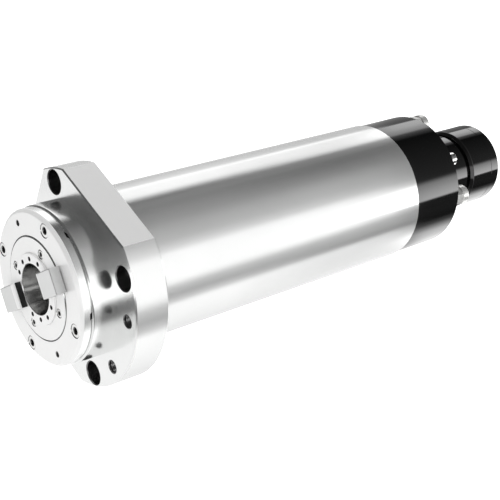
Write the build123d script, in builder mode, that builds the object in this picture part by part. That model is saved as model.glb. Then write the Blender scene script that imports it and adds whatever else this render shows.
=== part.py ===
from build123d import *
from collections import namedtuple
from math import cos, radians, sin
import os

# Motorised milling spindle with a flange, a short-taper nose and a drawbar tool clamp.
# Millimetres. The spindle axis is X, the nose points to -X, and +Z is up.
# The origin is on the axis, in the plane of the flange's rear (mounting) face.
# Angles round the axis count from straight up towards the port side, -Y.

# Mounting flange
flange_thickness = 23.0
level_flat = 60.0  # axis to the upper and to the lower flat
side_flat = 52.5  # axis to the flat on the +Y side
flange_edge = 0.8
bolt_circle = 60.0
bolt_margin = 9.0  # flange rim outside the bolt circle
bolt_angles = (-40, 45, 135, 220)
bolt_hole = 4.5
bolt_head_hole = 7.5
bolt_head_depth = 9.0
port_angles = (70, 110)
port_hole = 4.0
port_depth = 15.0
port_duct = 1.5  # radius of the duct from a port to the bearing bore
spigot_length = 26.0
sleeve_recess = 1.0  # how far the sleeve sits into the rear face
recess_relief = 0.6  # clear ring round the sleeve in the rear face

# Neck and front cap
neck_wall = 12.0
neck_length = 16.4
neck_edge = 1.0
cap_step = 0.75  # cap rim inside the neck
cap_thickness = 7.3
cap_edge = 1.8
seam_width = 0.7
seam_depth = 0.95
cap_lip = 2.7  # plain bore of the cap in front of the catch groove
catch_width = 3.6
catch_depth = 3.3
drain_width = 4.3
drain_depth = 1.5
drain_count = 6
drain_angle = 6.4
cap_screw_inset = 6.15
cap_screw_angles = (-9.3, 80.7, 170.7, 260.7)
cap_screw_hole_depth = 5.3
jack_inset = 7.85
jack_angles = (-53.5, 126.5)
jack_hole = 1.65

# Labyrinth ring, which turns inside the cap
ring_radius = 32.2
ring_thickness = 6.0
ring_proud = 0.4
ring_gap = 0.6
ring_edge = 0.4
ring_screw_inset = 3.1
ring_screw_hole_depth = 3.2

# Shaft nose and its 7/24 socket
gauge_radius = 15.875
taper_ratio = 7.0 / 48.0  # radius lost in each millimetre of depth
socket_length = 48.0
nose_relief = 0.1
nose_proud = 1.3
nose_edge = 0.4
air_hole = 1.3
air_inset = 2.9
air_depth = 5.0
air_offsets = (45, 75, 105, 135, 225, 255, 285, 315)

# Drive keys
key_angle = 34.9
key_width = 15.9
key_inner = 16.5
key_reach = 3.8  # past the rim of the labyrinth ring
key_root_inset = 0.7  # outer end of the tongue, inside the rim of the ring
key_stand = 5.6
key_seat_depth = 4.0
key_overhang_gap = 0.8
key_edge = 0.6
key_lead = 2.6
key_lead_drop = 1.0

# Front bearings, a pair of angular contact rows
front_bore = 22.5
front_outer = 37.5
front_width = 16.0
front_spacer = 8.0
race_wall = 5.1  # wall of an inner or outer ring at its shoulder
groove_depth = 1.6
groove_width = 8.0
collar_step = 1.2
collar_thickness = 7.1
collar_gap = 0.5
front_nut_radius = 31.0
front_nut_width = 12.0
lock_slot = 2.5
nut_room = 2.5
row_gap = 0.6  # between a ball row and the rings round it

# Rear bearings and their carrier
rear_bore_ratio = 35 / 100  # ratios are parts of the sleeve radius
rear_outer_ratio = 62 / 100
carrier_ratio = 73 / 100
rear_width = 14.0
rear_spacer = 4.0
carrier_lip = 3.0
carrier_lip_wall = 4.0
rear_nut_step = 5.0  # nut rim inside the bearing outside
rear_nut_width = 11.0

# Motor
sleeve_radius = 50.0
sleeve_length = 235.0
sleeve_wall = 6.0
sleeve_edge = 0.5
rear_wall_length = 45.0  # thick end of the sleeve that carries the rear bearings
shoulder_width = 4.0
shoulder_step = 2.0
jacket_wall = 4.5
jacket_clear = 2.0
jacket_groove_count = 5
jacket_groove_width = 18.0
jacket_groove_depth = 2.4
jacket_land = 9.0
seal_size = 2.4
core_front_room = 34.0
core_rear_room = 26.0
air_gap = 0.5
rotor_ratio = 50 / 100
rotor_seat_ratio = 38 / 100
winding_length = 14.0
winding_clear = 1.5
end_ring_width = 8.0
end_ring_wall = 5.0
seat_spacer = 11.0  # from the end of the rotor seat to the first rear bearing
shaft_tail = 16.0

# Drawbar, gripper and springs inside the shaft
throat_length = 2.4
release_radius = 12.4
release_length = 12.0
clamp_cone_length = 8.0
clamp_radius = 9.6
head_gap = 0.3
guide_room = 3.0  # from the drawbar head to the shoulder of the spring bore
spring_bore = 10.7
stem_radius = 5.0
slide_gap = 0.05
finger_count = 4
finger_span = 78.0
finger_inset = 7.0  # from the throat to the finger tips
hook_length = 3.5
hook_radius = 3.7
knob_radius = 6.0
finger_body = 8.2
lobe_lead = 3.5
lobe_radius = 10.6
lobe_tail_radius = 9.0
root_gap = 0.6
root_width = 4.6
root_radius = 4.1
neck_core = 3.5
lip_radius = 5.2
lip_inset = 6.6
lip_width = 2.4
head_width = 4.2
disc_radius = 10.4
disc_thickness = 1.5
disc_cone = 0.6
disc_count = 12
disc_edge = 0.05
nut_inset = 12.0  # front of the drawbar nut, inside the shaft's tail
drawbar_nut_radius = 9.5
drawbar_nut_width = 9.0
drawbar_reach = 6.0  # out of the shaft's tail
button_radius = 6.5
button_width = 4.0

# Rear drum
drum_step = 0.7  # drum rim inside the sleeve
drum_length = 44.3
drum_edge = 0.6
drum_wall = 12.3
drum_web = 4.0
drum_rear_wall = 8.0
web_clear = 1.1
spigot_fit = 0.1
drum_bore = 18.0
drum_screw_inset = 6.3
drum_screw_angles = (29, 119, 209, 299)
drum_screw_grip = 14.0
fitting_inset = 6.8
fitting_angles = (67, -27.7)
fitting_radius = 7.2
fitting_hex = 6.2
fitting_hex_height = 6.5
fitting_height = 12.8
fitting_bore = 3.2
fitting_edge = 1.4
fitting_thread = 4.8
fitting_thread_length = 7.0
connector_inset = 8.2
power_angle = 158
signal_angle = 250
power_radius = 6.6
signal_radius = 6.0
connector_height = 16.0
connector_wall = 1.2
connector_depth = 7.0
connector_flange = 1.6
connector_pin = 0.8
power_pins = 4
signal_pins = 3
connector_pin_length = 5.0

# Encoder ring and its sensor, inside the drum
encoder_wall = 6.5
encoder_width = 6.0
encoder_gap = 1.0
tooth_count = 16
tooth_depth = 1.5
tooth_width = 4.5
sensor_gap = 0.5
sensor_size = 8.0
sensor_angle = 90

# Tool release cylinder
boss_radius = 28.0
boss_length = 35.7
boss_spigot = 6.8
cylinder_radius = 30.6
cylinder_length = 26.0
cylinder_edge = 2.0
cylinder_wall = 6.6
chamber_floor = 0.9
undercut_depth = 1.6
undercut_width = 2.6
rear_cap_width = 9.0
rear_cap_edge = 0.8
cap_spigot = 3.0
cap_line = 0.5
rod_radius = 8.0
rod_gap = 0.6
piston_width = 8.4
piston_clear = 0.6
piston_ring_width = 3.0
piston_ring_depth = 2.0
rod_seal_inset = 6.7
rod_seal_width = 4.0
rod_seal_wall = 2.5
spring_wire = 0.9
spring_coil = 14.0
spring_turns = 2.5
cylinder_screw_inset = 4.4
cylinder_screw_angles = (0, 90, 180, 270)
cap_bolt_inset = 4.0
cap_bolt_angles = (45, 135, 225, 315)
air_port = 4.0

# Screws: shank radius, head radius, head height, key radius, key depth
Screw = namedtuple("Screw", "shank head height key socket")
m3 = Screw(1.5, 2.75, 3.0, 1.25, 1.5)
m5 = Screw(2.5, 4.25, 5.0, 2.0, 2.5)
m6 = Screw(3.0, 5.0, 6.0, 2.5, 3.0)
thread_gap = 0.05
head_room = 0.35
shank_room = 0.25
screw_grip = 9.0

# Radii and stations that follow from the sizes above
flange_radius = bolt_circle + bolt_margin
neck_radius = front_outer + neck_wall
cap_radius = neck_radius - cap_step
catch_radius = ring_radius + catch_depth
cap_screw_circle = cap_radius - cap_screw_inset
jack_circle = cap_radius - jack_inset
nose_radius = front_bore - nose_relief
ring_screw_circle = nose_radius + ring_screw_inset
air_circle = gauge_radius + air_inset
key_outer = ring_radius + key_reach
key_root = ring_radius - key_root_inset
collar_radius = ring_radius - collar_step
sleeve_bore = sleeve_radius - sleeve_wall
carrier_radius = carrier_ratio * sleeve_radius
rear_outer = rear_outer_ratio * sleeve_radius
rear_bore = rear_bore_ratio * sleeve_radius
rear_nut_radius = rear_outer - rear_nut_step
encoder_radius = rear_bore + encoder_wall
shoulder_bore = rear_outer - shoulder_step
stator_radius = sleeve_bore - jacket_wall
rotor_radius = rotor_ratio * sleeve_radius
rotor_seat = rotor_seat_ratio * sleeve_radius
stator_bore = rotor_radius + air_gap
drum_radius = sleeve_radius - drum_step
drum_cavity_radius = drum_radius - drum_wall
drum_screw_circle = drum_radius - drum_screw_inset
fitting_circle = drum_radius - fitting_inset
connector_circle = drum_radius - connector_inset
cylinder_bore = cylinder_radius - cylinder_wall
cylinder_screw_circle = boss_radius - cylinder_screw_inset
cap_bolt_circle = cylinder_radius - cap_bolt_inset

flange_front = -flange_thickness
neck_front = flange_front - neck_length
cap_front = neck_front - cap_thickness
ring_front = cap_front - ring_proud
ring_back = ring_front + ring_thickness
nose_front = ring_front - nose_proud
socket_end = nose_front + socket_length
socket_small = gauge_radius - taper_ratio * socket_length
throat_end = socket_end + throat_length
release_end = throat_end + release_length
cone_end = release_end + clamp_cone_length
finger_tip = throat_end + finger_inset
lobe_start = release_end + lobe_lead
lip_start = cone_end + lip_inset
lip_end = lip_start + lip_width
root_start = lip_end + root_gap
root_end = root_start + root_width
head_start = root_end + root_gap
head_end = head_start + head_width
guide_shoulder = head_end + guide_room
front_seat = ring_back + collar_thickness
spacer_middle = front_seat + front_width + front_spacer / 2
front_row_2 = front_seat + front_width + front_spacer
front_nest_end = front_row_2 + front_width
front_nut_end = front_nest_end + front_nut_width
cap_screw_bottom = cap_front + cap_screw_hole_depth + screw_grip
rear_wall_start = sleeve_length - rear_wall_length
jacket_start = spigot_length + jacket_clear
jacket_end = rear_wall_start - jacket_clear
core_start = jacket_start + core_front_room
core_end = jacket_end - core_rear_room
carrier_start = rear_wall_start + shoulder_width
rear_row_1 = carrier_start + carrier_lip
rear_row_2 = rear_row_1 + rear_width + rear_spacer
rear_nest_end = rear_row_2 + rear_width
rear_nut_end = rear_nest_end + rear_nut_width
shaft_step = rear_row_1 - seat_spacer
shaft_end = rear_nut_end + shaft_tail
encoder_start = rear_nut_end + encoder_gap
nut_start = shaft_end - nut_inset
stack_start = nut_start - disc_count * (disc_thickness + disc_cone)
drawbar_end = shaft_end + drawbar_reach
drum_end = sleeve_length + drum_length
drum_cavity_end = drum_end - drum_rear_wall
boss_end = drum_end + boss_length
undercut_end = boss_end + undercut_width
chamber_start = undercut_end + chamber_floor
cylinder_end = boss_end + cylinder_length
cap_end = cylinder_end + rear_cap_width
piston_end = cylinder_end - cap_spigot - piston_clear
piston_start = piston_end - piston_width
rod_start = drawbar_end + button_width + rod_gap
rod_seal_start = drum_end + rod_seal_inset
os.makedirs("parts", exist_ok=True)


def axial_plane(angle):
    """Plane through the axis whose x is along the spindle and whose y points outwards at the angle."""
    turn = radians(angle)
    return Plane(origin=(0, 0, 0), x_dir=(1, 0, 0), z_dir=(0, -cos(turn), -sin(turn)))


def spots(circle, angles):
    """Points on a pitch circle, in the coordinates of a plane across the axis."""
    return [(-circle * sin(radians(a)), circle * cos(radians(a))) for a in angles]


def turned(points, mode=Mode.ADD):
    """Revolve a closed profile of (station, radius) points about the spindle axis."""
    with BuildSketch(axial_plane(0)) as profile:
        with BuildLine():
            Polyline(*points, close=True)
        make_face()
    revolve(profile.sketch, axis=Axis.X, mode=mode)


def ring(start, end, inner, outer, mode=Mode.ADD):
    """A plain turned ring, or a disc when the inner radius is nothing."""
    turned([(start, inner), (end, inner), (end, outer), (start, outer)], mode)


def rods(start, length, radius, circle, angles, mode=Mode.ADD):
    """Round bars, or round holes, that run rearwards from a station on a pitch circle."""
    with BuildSketch(Plane.YZ.offset(start)) as section:
        with Locations(*spots(circle, angles)):
            Circle(radius)
    extrude(section.sketch, amount=length, mode=mode)


def hexes(start, length, radius, circle, angles, mode=Mode.ADD):
    """Hexagonal bars, or hexagonal sockets, on a pitch circle."""
    with BuildSketch(Plane.YZ.offset(start)) as section:
        with Locations(*spots(circle, angles)):
            RegularPolygon(radius, 6, major_radius=False)
    extrude(section.sketch, amount=length, mode=mode)


def front_screws(screw, face, grip, circle, angles):
    """Socket cap screws whose heads stand forwards of a seat, with the sockets facing the nose."""
    rods(face, screw.height, screw.head, circle, angles)
    rods(face + screw.height, grip, screw.shank, circle, angles)
    hexes(face, screw.socket, screw.key, circle, angles, Mode.SUBTRACT)


def rear_screws(screw, face, grip, circle, angles):
    """Socket cap screws with their heads on a rearward seat and their shanks running forwards."""
    rods(face, screw.height, screw.head, circle, angles)
    rods(face - grip, grip, screw.shank, circle, angles)
    hexes(face + screw.height - screw.socket, screw.socket, screw.key, circle, angles, Mode.SUBTRACT)


def inner_race(start, width, bore):
    """Inner bearing ring with its ball groove."""
    middle = start + width / 2
    outside = bore + race_wall
    half = groove_width / 2
    turned([
        (start, bore),
        (start + width, bore),
        (start + width, outside),
        (middle + half, outside),
        (middle + half / 2, outside - groove_depth),
        (middle - half / 2, outside - groove_depth),
        (middle - half, outside),
        (start, outside),
    ])


def outer_race(start, width, outside):
    """Outer bearing ring with its ball groove."""
    middle = start + width / 2
    inside = outside - race_wall
    half = groove_width / 2
    turned([
        (start, outside),
        (start + width, outside),
        (start + width, inside),
        (middle + half, inside),
        (middle + half / 2, inside + groove_depth),
        (middle - half / 2, inside + groove_depth),
        (middle - half, inside),
        (start, inside),
    ])


def ball_row(start, width, bore, outside):
    """The balls of one row with their cage, as one turned ring between the two races."""
    middle = start + width / 2
    reach = groove_width / 4 - row_gap / 2
    ring(middle - reach, middle + reach, bore + race_wall - groove_depth + row_gap,
         outside - race_wall + groove_depth - row_gap)


def slotted_nut(start, end, bore, outside):
    """Round locknut with four spanner slots in its rim."""
    ring(start, end, bore, outside)
    with BuildSketch(Plane.YZ.offset(start)) as slots:
        with PolarLocations(outside, 4):
            Rectangle(2 * lock_slot, 2 * lock_slot)
    extrude(slots.sketch, amount=end - start, mode=Mode.SUBTRACT)


# Flange housing: neck, flange and rear spigot, bored for the front bearings
with BuildPart() as flange_housing:
    with BuildSketch(Plane.YZ.offset(flange_front)):
        Circle(flange_radius)
        with Locations(((side_flat - flange_radius) / 2, 0)):
            Rectangle(side_flat + flange_radius, 2 * level_flat, mode=Mode.INTERSECT)
    extrude(amount=flange_thickness)
    rims = flange_housing.faces().filter_by(GeomType.PLANE).filter_by(Axis.X).edges()
    chamfer(rims, flange_edge)
    turned([
        (neck_front, 0),
        (neck_front, neck_radius - neck_edge),
        (neck_front + neck_edge, neck_radius),
        (flange_front, neck_radius),
        (flange_front, 0),
    ])
    ring(-sleeve_recess, 0, 0, sleeve_radius + recess_relief, Mode.SUBTRACT)
    ring(-sleeve_recess, spigot_length, 0, sleeve_bore)
    ring(neck_front, front_nest_end, 0, front_outer, Mode.SUBTRACT)
    ring(front_nest_end, spigot_length, 0, front_nut_radius + nut_room, Mode.SUBTRACT)
    rods(flange_front, flange_thickness, bolt_hole, bolt_circle, bolt_angles, Mode.SUBTRACT)
    rods(flange_front, bolt_head_depth, bolt_head_hole, bolt_circle, bolt_angles, Mode.SUBTRACT)
    rods(flange_front, port_depth, port_hole, bolt_circle, port_angles, Mode.SUBTRACT)
    for port_angle in port_angles:
        with BuildSketch(axial_plane(port_angle)):
            with Locations((spacer_middle, bolt_circle / 2)):
                Rectangle(2 * port_duct, bolt_circle)
        extrude(amount=port_duct, both=True, mode=Mode.SUBTRACT)
    rods(neck_front, cap_screw_bottom - neck_front, m5.shank + thread_gap, cap_screw_circle,
         cap_screw_angles, Mode.SUBTRACT)
flange_housing.part.label = "flange_housing"
export_step(flange_housing.part, "parts/flange_housing.step")

# Front cap: bolted to the neck, with a catch groove that drains through six slots at the seam
with BuildPart() as front_cap:
    seam_start = neck_front - seam_width
    seam_radius = cap_radius - seam_depth
    catch_start = cap_front + cap_lip
    catch_end = catch_start + catch_width
    cap_spigot_radius = front_outer - thread_gap
    lip_bore = collar_radius + collar_gap
    turned([
        (cap_front, ring_radius + ring_gap),
        (cap_front, cap_radius - cap_edge),
        (cap_front + cap_edge, cap_radius),
        (seam_start, cap_radius),
        (seam_start, seam_radius),
        (neck_front, seam_radius),
        (neck_front, cap_spigot_radius),
        (front_seat, cap_spigot_radius),
        (front_seat, lip_bore),
        (catch_end, lip_bore),
        (catch_end, catch_radius),
        (catch_start, catch_radius),
        (catch_start, ring_radius + ring_gap),
    ])
    with BuildSketch(Plane.YZ.offset(neck_front - drain_depth)):
        with PolarLocations((catch_radius + cap_radius) / 2, drain_count, 90 + drain_angle):
            Rectangle(cap_radius - catch_radius + 2, drain_width)
    extrude(amount=drain_depth, mode=Mode.SUBTRACT)
    rods(cap_front, cap_thickness, m5.shank + shank_room, cap_screw_circle,
         cap_screw_angles, Mode.SUBTRACT)
    rods(cap_front, cap_screw_hole_depth, m5.head + head_room, cap_screw_circle,
         cap_screw_angles, Mode.SUBTRACT)
    rods(cap_front, cap_thickness, jack_hole, jack_circle, jack_angles, Mode.SUBTRACT)
front_cap.part.label = "front_cap"
export_step(front_cap.part, "parts/front_cap.step")

with BuildPart() as cap_screws:
    head_seat = cap_front + cap_screw_hole_depth
    front_screws(m5, head_seat - m5.height, screw_grip, cap_screw_circle, cap_screw_angles)
cap_screws.part.label = "cap_screws"
export_step(cap_screws.part, "parts/cap_screws.step")

# Labyrinth ring: bolted to the shaft's collar and cut for the drive keys
ring_screw_angles = [key_angle + 45 + 90 * n for n in range(4)]
with BuildPart() as labyrinth_ring:
    turned([
        (ring_front, nose_radius),
        (ring_front, ring_radius - ring_edge),
        (ring_front + ring_edge, ring_radius),
        (ring_back, ring_radius),
        (ring_back, nose_radius),
    ])
    rods(ring_front, ring_thickness, m3.shank + shank_room, ring_screw_circle,
         ring_screw_angles, Mode.SUBTRACT)
    rods(ring_front, ring_screw_hole_depth, m3.head + head_room, ring_screw_circle,
         ring_screw_angles, Mode.SUBTRACT)
    with BuildSketch(axial_plane(key_angle)):
        with Locations((nose_front, 0)):
            Rectangle(2 * key_seat_depth, 2 * flange_radius)
    extrude(amount=key_width / 2, both=True, mode=Mode.SUBTRACT)
labyrinth_ring.part.label = "labyrinth_ring"
export_step(labyrinth_ring.part, "parts/labyrinth_ring.step")

with BuildPart() as ring_screws:
    ring_head_seat = ring_front + ring_screw_hole_depth
    front_screws(m3, ring_head_seat - m3.height, screw_grip, ring_screw_circle, ring_screw_angles)
ring_screws.part.label = "ring_screws"
export_step(ring_screws.part, "parts/ring_screws.step")

# Spindle shaft: nose, socket, clamp bore and seats, with the key slots across its face
with BuildPart() as spindle_shaft:
    turned([
        (nose_front, gauge_radius),
        (nose_front, nose_radius - nose_edge),
        (nose_front + nose_edge, nose_radius),
        (ring_back, nose_radius),
        (ring_back, collar_radius),
        (front_seat, collar_radius),
        (front_seat, front_bore),
        (front_nut_end, front_bore),
        (front_nut_end, rotor_seat),
        (shaft_step, rotor_seat),
        (shaft_step, rear_bore),
        (shaft_end, rear_bore),
        (shaft_end, spring_bore),
        (guide_shoulder, spring_bore),
        (guide_shoulder, clamp_radius),
        (cone_end, clamp_radius),
        (release_end, release_radius),
        (throat_end, release_radius),
        (throat_end, socket_small),
        (socket_end, socket_small),
    ])
    rods(nose_front, air_depth, air_hole, air_circle,
         [key_angle + offset for offset in air_offsets], Mode.SUBTRACT)
    rods(ring_back, screw_grip - ring_thickness + ring_screw_hole_depth, m3.shank + thread_gap,
         ring_screw_circle, ring_screw_angles, Mode.SUBTRACT)
    with BuildSketch(axial_plane(key_angle)):
        with Locations((nose_front, 0)):
            Rectangle(2 * key_seat_depth, 2 * collar_radius)
    extrude(amount=key_width / 2, both=True, mode=Mode.SUBTRACT)
spindle_shaft.part.label = "spindle_shaft"
export_step(spindle_shaft.part, "parts/spindle_shaft.step")

# Drive keys: a tongue in the slot and a head that reaches out over the ring and the cap
with BuildPart() as drive_keys:
    key_front = nose_front - key_stand
    key_floor = nose_front + key_seat_depth
    overhang = cap_front - key_overhang_gap
    for side in (0, 180):
        with BuildSketch(axial_plane(key_angle + side)):
            with BuildLine():
                Polyline(
                    (key_front + key_lead_drop, key_inner),
                    (key_front, key_inner + key_lead),
                    (key_front, key_outer - key_edge),
                    (key_front + key_edge, key_outer),
                    (overhang, key_outer),
                    (overhang, key_root),
                    (key_floor, key_root),
                    (key_floor, key_inner),
                    close=True,
                )
            make_face()
        extrude(amount=key_width / 2, both=True)
    front_faces = drive_keys.faces().filter_by(Axis.X).group_by(Axis.X)[0]
    long_edges = [edge for edge in front_faces.edges() if edge.length < key_outer - key_inner - key_lead]
    chamfer(long_edges, key_edge / 2)
drive_keys.part.label = "drive_keys"
export_step(drive_keys.part, "parts/drive_keys.step")

# Front bearings with their spacers and locknut
with BuildPart() as front_inner_races:
    inner_race(front_seat, front_width, front_bore)
    inner_race(front_row_2, front_width, front_bore)
front_inner_races.part.label = "front_inner_races"
export_step(front_inner_races.part, "parts/front_inner_races.step")

with BuildPart() as front_outer_races:
    outer_race(front_seat, front_width, front_outer)
    outer_race(front_row_2, front_width, front_outer)
front_outer_races.part.label = "front_outer_races"
export_step(front_outer_races.part, "parts/front_outer_races.step")

with BuildPart() as front_ball_rows:
    ball_row(front_seat, front_width, front_bore, front_outer)
    ball_row(front_row_2, front_width, front_bore, front_outer)
front_ball_rows.part.label = "front_ball_rows"
export_step(front_ball_rows.part, "parts/front_ball_rows.step")

with BuildPart() as front_inner_spacer:
    ring(front_seat + front_width, front_row_2, front_bore, front_bore + race_wall)
front_inner_spacer.part.label = "front_inner_spacer"
export_step(front_inner_spacer.part, "parts/front_inner_spacer.step")

with BuildPart() as front_outer_spacer:
    ring(front_seat + front_width, front_row_2, front_outer - race_wall, front_outer)
    ring(spacer_middle - port_duct, spacer_middle + port_duct, front_outer - port_duct,
         front_outer + port_duct, Mode.SUBTRACT)
front_outer_spacer.part.label = "front_outer_spacer"
export_step(front_outer_spacer.part, "parts/front_outer_spacer.step")

with BuildPart() as front_locknut:
    slotted_nut(front_nest_end, front_nut_end, front_bore, front_nut_radius)
front_locknut.part.label = "front_locknut"
export_step(front_locknut.part, "parts/front_locknut.step")

# Motor housing sleeve, with an inner shoulder and a thick rear end for the rear bearings
with BuildPart() as motor_sleeve:
    turned([
        (-sleeve_recess, sleeve_bore),
        (-sleeve_recess, sleeve_radius - sleeve_recess),
        (0, sleeve_radius),
        (sleeve_length - sleeve_edge, sleeve_radius),
        (sleeve_length, sleeve_radius - sleeve_edge),
        (sleeve_length, carrier_radius),
        (carrier_start, carrier_radius),
        (carrier_start, shoulder_bore),
        (rear_wall_start, shoulder_bore),
        (rear_wall_start, sleeve_bore),
    ])
    rods(sleeve_length - drum_screw_grip, drum_screw_grip, m6.shank + thread_gap,
         drum_screw_circle, drum_screw_angles, Mode.SUBTRACT)
motor_sleeve.part.label = "motor_sleeve"
export_step(motor_sleeve.part, "parts/motor_sleeve.step")

# Cooling jacket: a liner with water grooves between two sealed lands
with BuildPart() as cooling_jacket:
    ring(jacket_start, jacket_end, stator_radius, sleeve_bore)
    groove_room = jacket_end - jacket_start - 2 * jacket_land
    groove_pitch = groove_room / jacket_groove_count
    for n in range(jacket_groove_count):
        groove_start = jacket_start + jacket_land + (n + 0.5) * groove_pitch - jacket_groove_width / 2
        ring(groove_start, groove_start + jacket_groove_width, sleeve_bore - jacket_groove_depth,
             sleeve_radius, Mode.SUBTRACT)
    for land in (jacket_start, jacket_end - jacket_land):
        seal_start = land + (jacket_land - seal_size) / 2
        ring(seal_start, seal_start + seal_size, sleeve_bore - seal_size, sleeve_radius, Mode.SUBTRACT)
cooling_jacket.part.label = "cooling_jacket"
export_step(cooling_jacket.part, "parts/cooling_jacket.step")

with BuildPart() as jacket_seals:
    for land in (jacket_start, jacket_end - jacket_land):
        seal_start = land + (jacket_land - seal_size) / 2
        ring(seal_start, seal_start + seal_size, sleeve_bore - seal_size, sleeve_bore)
jacket_seals.part.label = "jacket_seals"
export_step(jacket_seals.part, "parts/jacket_seals.step")

with BuildPart() as stator_core:
    ring(core_start, core_end, stator_bore, stator_radius)
stator_core.part.label = "stator_core"
export_step(stator_core.part, "parts/stator_core.step")

with BuildPart() as end_windings:
    winding_outer = stator_radius - winding_clear
    winding_inner = stator_bore + winding_clear
    winding_round = (winding_outer - winding_inner) / 3
    for start, end in ((core_start, core_start - winding_length), (core_end, core_end + winding_length)):
        round_start = end - (end - start) / winding_length * winding_round
        turned([
            (start, winding_inner),
            (start, winding_outer),
            (round_start, winding_outer),
            (end, winding_outer - winding_round),
            (end, winding_inner + winding_round),
            (round_start, winding_inner),
        ])
end_windings.part.label = "end_windings"
export_step(end_windings.part, "parts/end_windings.step")

with BuildPart() as rotor_core:
    ring(core_start, core_end, rotor_seat, rotor_radius)
rotor_core.part.label = "rotor_core"
export_step(rotor_core.part, "parts/rotor_core.step")

with BuildPart() as rotor_end_rings:
    ring(core_start - end_ring_width, core_start, rotor_radius - end_ring_wall, rotor_radius)
    ring(core_end, core_end + end_ring_width, rotor_radius - end_ring_wall, rotor_radius)
rotor_end_rings.part.label = "rotor_end_rings"
export_step(rotor_end_rings.part, "parts/rotor_end_rings.step")

# Rear bearings in their carrier
with BuildPart() as rear_carrier:
    ring(carrier_start, rear_nest_end, rear_outer, carrier_radius)
    ring(carrier_start, rear_row_1, rear_outer - carrier_lip_wall, carrier_radius)
rear_carrier.part.label = "rear_carrier"
export_step(rear_carrier.part, "parts/rear_carrier.step")

with BuildPart() as rear_inner_races:
    inner_race(rear_row_1, rear_width, rear_bore)
    inner_race(rear_row_2, rear_width, rear_bore)
rear_inner_races.part.label = "rear_inner_races"
export_step(rear_inner_races.part, "parts/rear_inner_races.step")

with BuildPart() as rear_outer_races:
    outer_race(rear_row_1, rear_width, rear_outer)
    outer_race(rear_row_2, rear_width, rear_outer)
rear_outer_races.part.label = "rear_outer_races"
export_step(rear_outer_races.part, "parts/rear_outer_races.step")

with BuildPart() as rear_ball_rows:
    ball_row(rear_row_1, rear_width, rear_bore, rear_outer)
    ball_row(rear_row_2, rear_width, rear_bore, rear_outer)
rear_ball_rows.part.label = "rear_ball_rows"
export_step(rear_ball_rows.part, "parts/rear_ball_rows.step")

with BuildPart() as rear_inner_spacers:
    ring(shaft_step, rear_row_1, rear_bore, rear_bore + race_wall)
    ring(rear_row_1 + rear_width, rear_row_2, rear_bore, rear_bore + race_wall)
rear_inner_spacers.part.label = "rear_inner_spacers"
export_step(rear_inner_spacers.part, "parts/rear_inner_spacers.step")

with BuildPart() as rear_outer_spacer:
    ring(rear_row_1 + rear_width, rear_row_2, rear_outer - race_wall, rear_outer)
rear_outer_spacer.part.label = "rear_outer_spacer"
export_step(rear_outer_spacer.part, "parts/rear_outer_spacer.step")

with BuildPart() as rear_locknut:
    slotted_nut(rear_nest_end, rear_nut_end, rear_bore, rear_nut_radius)
rear_locknut.part.label = "rear_locknut"
export_step(rear_locknut.part, "parts/rear_locknut.step")

# Encoder ring on the shaft's tail and the sensor that reads its teeth
with BuildPart() as encoder_ring:
    ring(encoder_start, encoder_start + encoder_width, rear_bore, encoder_radius)
    with BuildSketch(Plane.YZ.offset(encoder_start)):
        with PolarLocations(encoder_radius, tooth_count):
            Rectangle(2 * tooth_depth, tooth_width)
    extrude(amount=encoder_width, mode=Mode.SUBTRACT)
encoder_ring.part.label = "encoder_ring"
export_step(encoder_ring.part, "parts/encoder_ring.step")

with BuildPart() as speed_sensor:
    with BuildSketch(axial_plane(sensor_angle)):
        with Locations((encoder_start + encoder_width / 2, drum_cavity_radius)):
            Rectangle(sensor_size, drum_cavity_radius)
    extrude(amount=sensor_size / 2, both=True)
    ring(sleeve_length, drum_cavity_end, encoder_radius + sensor_gap, drum_cavity_radius,
         Mode.INTERSECT)
speed_sensor.part.label = "speed_sensor"
export_step(speed_sensor.part, "parts/speed_sensor.step")

# Drawbar with its gripper head, spring pack and nut
with BuildPart() as drawbar:
    turned([
        (lip_start, 0),
        (lip_start, lip_radius),
        (lip_end, lip_radius),
        (lip_end, neck_core),
        (head_start, neck_core),
        (head_start, clamp_radius - head_gap),
        (head_end, clamp_radius - head_gap),
        (head_end, stem_radius),
        (drawbar_end, stem_radius),
        (drawbar_end, button_radius),
        (drawbar_end + button_width, button_radius),
        (drawbar_end + button_width, 0),
    ])
drawbar.part.label = "drawbar"
export_step(drawbar.part, "parts/drawbar.step")

with BuildPart() as spring_guide:
    ring(guide_shoulder, stack_start, stem_radius + slide_gap, spring_bore)
spring_guide.part.label = "spring_guide"
export_step(spring_guide.part, "parts/spring_guide.step")

with BuildPart() as disc_springs:
    disc_bore = stem_radius + head_gap
    pair = 2 * (disc_thickness + disc_cone)
    for n in range(disc_count // 2):
        left = stack_start + n * pair
        right = left + pair
        turned([
            (left, disc_bore),
            (left + disc_cone, disc_radius),
            (left + disc_cone + disc_thickness - disc_edge, disc_radius),
            (left + disc_thickness - disc_edge, disc_bore),
        ])
        turned([
            (right, disc_bore),
            (right - disc_cone, disc_radius),
            (right - disc_cone - disc_thickness + disc_edge, disc_radius),
            (right - disc_thickness + disc_edge, disc_bore),
        ])
disc_springs.part.label = "disc_springs"
export_step(disc_springs.part, "parts/disc_springs.step")

with BuildPart() as drawbar_nut:
    slotted_nut(nut_start, nut_start + drawbar_nut_width, stem_radius, drawbar_nut_radius)
drawbar_nut.part.label = "drawbar_nut"
export_step(drawbar_nut.part, "parts/drawbar_nut.step")

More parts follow.
